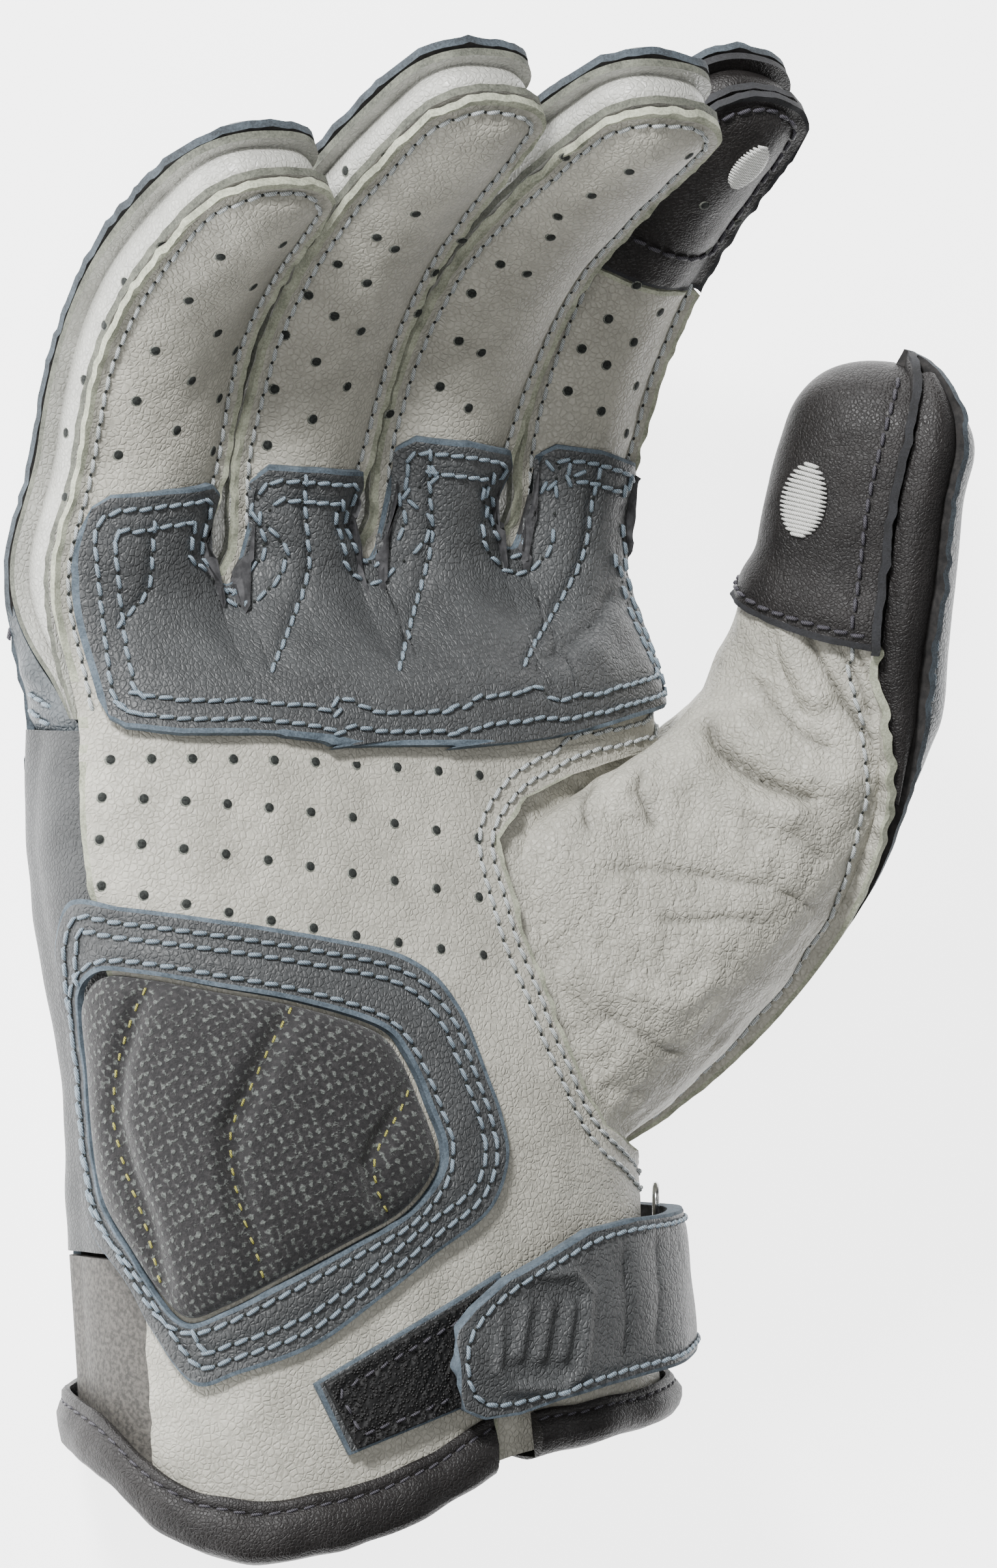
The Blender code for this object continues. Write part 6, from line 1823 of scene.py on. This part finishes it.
line = np.concatenate([
    palm(np.radians(turn_angle[::-1]), high[::-1] * PALM_LENGTH, lift[::-1] + STRAP_WALL),
    palm(np.radians(turn_angle[0]) + 0 * left, left * PALM_LENGTH, lift[0] + STRAP_WALL),
    palm(np.radians(turn_angle), low * PALM_LENGTH, lift + STRAP_WALL)])
rows_beside(blue, smooth(resample(line, 0.0008)[0], 24), strap_sheet, (STRAP_ROW,))
corners = np.array(LOOP + LOOP[:1])
line = np.concatenate([a + (b - a) * np.linspace(0, 1, 30)[:-1, None]
                       for a, b in zip(corners[:-1], corners[1:])])
line = palm(np.radians(line[:, 0]), line[:, 1] * PALM_LENGTH, LAYER + BACKING)
rows_beside(dim, line, backing_sheet, (TAPE_ROW,), loop_sheet, length=0.0016, radius=0.00024)

# edging: one row in its groove, and bar tacks of close upright threads
for path, binding_face in ((binding_groove, binding_sheet), (flap_groove, flap_binding_sheet)):
    dim.row(path, nearest_normals(path, binding_face), length=0.0019, radius=0.00024, height=0.0001)
for x0, x1, y0, y1, binding_face in BAR_TACKS:
    for x in np.arange(x0, x1, 4.4):
        dim.traced(((x, y1), (x + 2, y0)), binding_face,
                   pitch=0.0024, length=0.0026, radius=0.00026, slant=0.0)

# generic ovals of satin stitch on the two touch fingertips
OVALS = (
    # surface, centre, half sizes, sheet
    (lambda u, v: sheet(u, finger.root[1] + v * finger.length, 1, 0.0, strip=3), (3.53, 0.87),
     0.13, 0.05, cap_sheet),
    (thumb_tip, (math.radians(112.0), 0.80), 0.26, 0.05, thumb_cap_sheet),
)
for surface, centre, half_u, half_v, face in OVALS:
    for k in np.linspace(-0.94, 0.94, 17):
        across = math.sqrt(1 - k * k)
        u = centre[0] + half_u * across * np.linspace(-1, 1, 7)
        path = surface(u, centre[1] + half_v * k + 0 * u)
        length = float(np.linalg.norm(np.diff(path, axis=0), axis=1).sum())
        on, up = snap(path, nearest_normals(path, face), face)
        if len(on) == 7:
            white.rows.append(stitches(on[3:4], unit(on[6:7] - on[0:1]), up[3:4], length=length,
                                       radius=0.00032, slant=0.0, height=0.0003))
threads = [thread.make() for thread in (light, blue, dim, gold, white)]
needle = [domes(*(np.concatenate(part) for part in zip(*thread.holes)), 0.00024, 0.00003)
          for thread in (light, blue) if thread.holes]
# needle holes: dark spots of painted shade between the stitches
place("needle_holes", *joined(needle), [painted_hole_shade], "dark_leather")
for piece, options in WAITING:
    make_leather(*piece, **options)
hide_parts("index_touch_mark", "thumb_touch_mark")


# ---- perforations, by the photograph's pixels ----
FINGER_HOLES = (
    (434, 376), (338, 395), (389, 441), (289, 462), (334, 512), (238, 539), (294, 585), (361, 539),
    (209, 616), (337, 612), (271, 661), (181, 699), (327, 693), (638, 329), (578, 365), (606, 383),
    (518, 406), (563, 435), (473, 454), (513, 486), (437, 515), (554, 509), (485, 556), (533, 594),
    (421, 598), (480, 644), (410, 684), (867, 242), (966, 264), (1058, 240), (812, 281), (908, 301),
    (761, 316), (856, 333), (845, 365), (709, 370), (768, 406), (668, 419), (809, 421), (724, 451),
    (642, 481), (704, 524), (739, 542), (616, 560), (675, 594), (598, 636), (719, 627), (977, 439),
    (934, 490), (1014, 480), (893, 536), (973, 526), (931, 561), (872, 601), (977, 593), (923, 632),
    (962, 666),
)
BAND_HOLES = ((316, 327), (248, 376), (191, 434), (160, 500), (129, 584), (101, 665), (99, 764), (700, 198),
              (593, 237), (530, 263), (943, 93), (847, 124))
CAP_HOLES = ((1082, 316), (1133, 342), (1089, 385))
# Rows across the palm: from, to, sag in the middle, how many.
PALM_HOLES = (
    (169, 1167, 736, 1191, -10, 10), (156, 1225, 734, 1287, -12, 10), (152, 1290, 735, 1378, -8, 10),
    (155, 1361, 742, 1467, 6, 10),
)
spots = list(FINGER_HOLES)
for x0, y0, x1, y1, sag, many in PALM_HOLES:
    k = np.linspace(0, 1, many)
    spots += list(zip(x0 + (x1 - x0) * k, y0 + (y1 - y0) * k + sag * 4 * k * (1 - k)))


def holes(name, sets, size, slot):
    """Punched holes: a paler wall spot, and a darker one inside it towards the upper left. The paler spot is
    painted light on the hole's cut wall, the darker one painted shade inside the hole over the dark lining
    seen through.
    """
    walls, wells = [], []
    for pixels, sheets in sets:
        p, n = pin(pixels, *sheets)
        ahead = unit(UP - n * (n @ UP)[:, None])
        walls.append(domes(p, ahead, n, size, 0.00004))
        # the dark spot is shifted so that a lit wall shows on one side: painted shade and painted light
        wells.append(domes(p, ahead, n, size * 0.84, 0.00007, (size * 0.07, -size * 0.1)))
    parts = joined(walls), joined(wells)
    points, faces = joined(parts)
    index = np.repeat([0, 1], [len(parts[0][1]), len(parts[1][1])])
    return place(name, points, faces, [shaded_hole_wall, painted_hole_shade], slot, index=index)


PERFORATION = 0.00088      # radius of the paler wall spot
holes("perforations", ((spots, (palm_sheet,)), (BAND_HOLES, bands), (CAP_HOLES, (cap_sheet,))),
      PERFORATION, "light_leather")


# ---- floor, lights and camera ----
floor_look = Look("pale_floor", Roughness=0.9)
floor_look.set("Base Color", floor_look.mix(floor_look.noise(floor_look.place(3.0)), (0.86, 0.86, 0.86, 1),
                                            (0.88, 0.88, 0.88, 1)))
floor_look.set("Emission Color", (1.0, 1.0, 1.0, 1.0))
floor_look.set("Emission Strength", 3.6)
mesh = bpy.data.meshes.new("floor")
mesh.from_pydata([(-3, -3, 0), (3, -3, 0), (3, 3, 0), (-3, 3, 0)], [], [(0, 1, 2, 3)])
mesh.materials.append(floor_look.material)
floor = bpy.data.objects.new("floor", mesh)
bpy.context.scene.collection.objects.link(floor)


def lamp(name, spot, aim, size, power):
    """Square soft light at a spot, turned to aim at a point."""
    light_data = bpy.data.lights.new(name, "AREA")
    light_data.size = size
    light_data.energy = power
    holder = bpy.data.objects.new(name, light_data)
    holder.location = spot
    holder.rotation_euler = (Vector(aim) - Vector(spot)).to_track_quat("-Z", "Y").to_euler()
    bpy.context.scene.collection.objects.link(holder)


LAMPS = (
    # name, place, side in metres, watts
    ("key", (-0.86, 0.84, 0.70), 0.24, 38.0),
    ("front", (-0.75, -0.1, 1.05), 0.5, 7.0),
    ("fill", (0.8, 0.2, 0.9), 0.8, 3.0),
)
for name, spot, size, power in LAMPS:
    lamp(name, spot, (0, 0, 0.03), size, power)
world = bpy.data.worlds.new("studio")
world.use_nodes = True
world.node_tree.nodes["Background"].inputs["Color"].default_value = (1.0, 1.0, 1.0, 1.0)
world.node_tree.nodes["Background"].inputs["Strength"].default_value = 0.07
bpy.context.scene.world = world

camera_data = bpy.data.cameras.new("photograph")
camera_data.sensor_width = 36.0
camera_data.sensor_fit = "AUTO"
camera_data.lens = FOCAL / PHOTO_HEIGHT * camera_data.sensor_width
camera_data.clip_start, camera_data.clip_end = 0.05, 20.0
camera = bpy.data.objects.new("photograph", camera_data)
bpy.context.scene.collection.objects.link(camera)
turned = Matrix((tuple(RIGHT), tuple(UP), tuple(TOWARDS))).transposed().to_4x4()
turned.translation = Vector(TARGET - ORIGIN + TOWARDS * DISTANCE)
camera.matrix_world = turned
bpy.context.scene.camera = camera
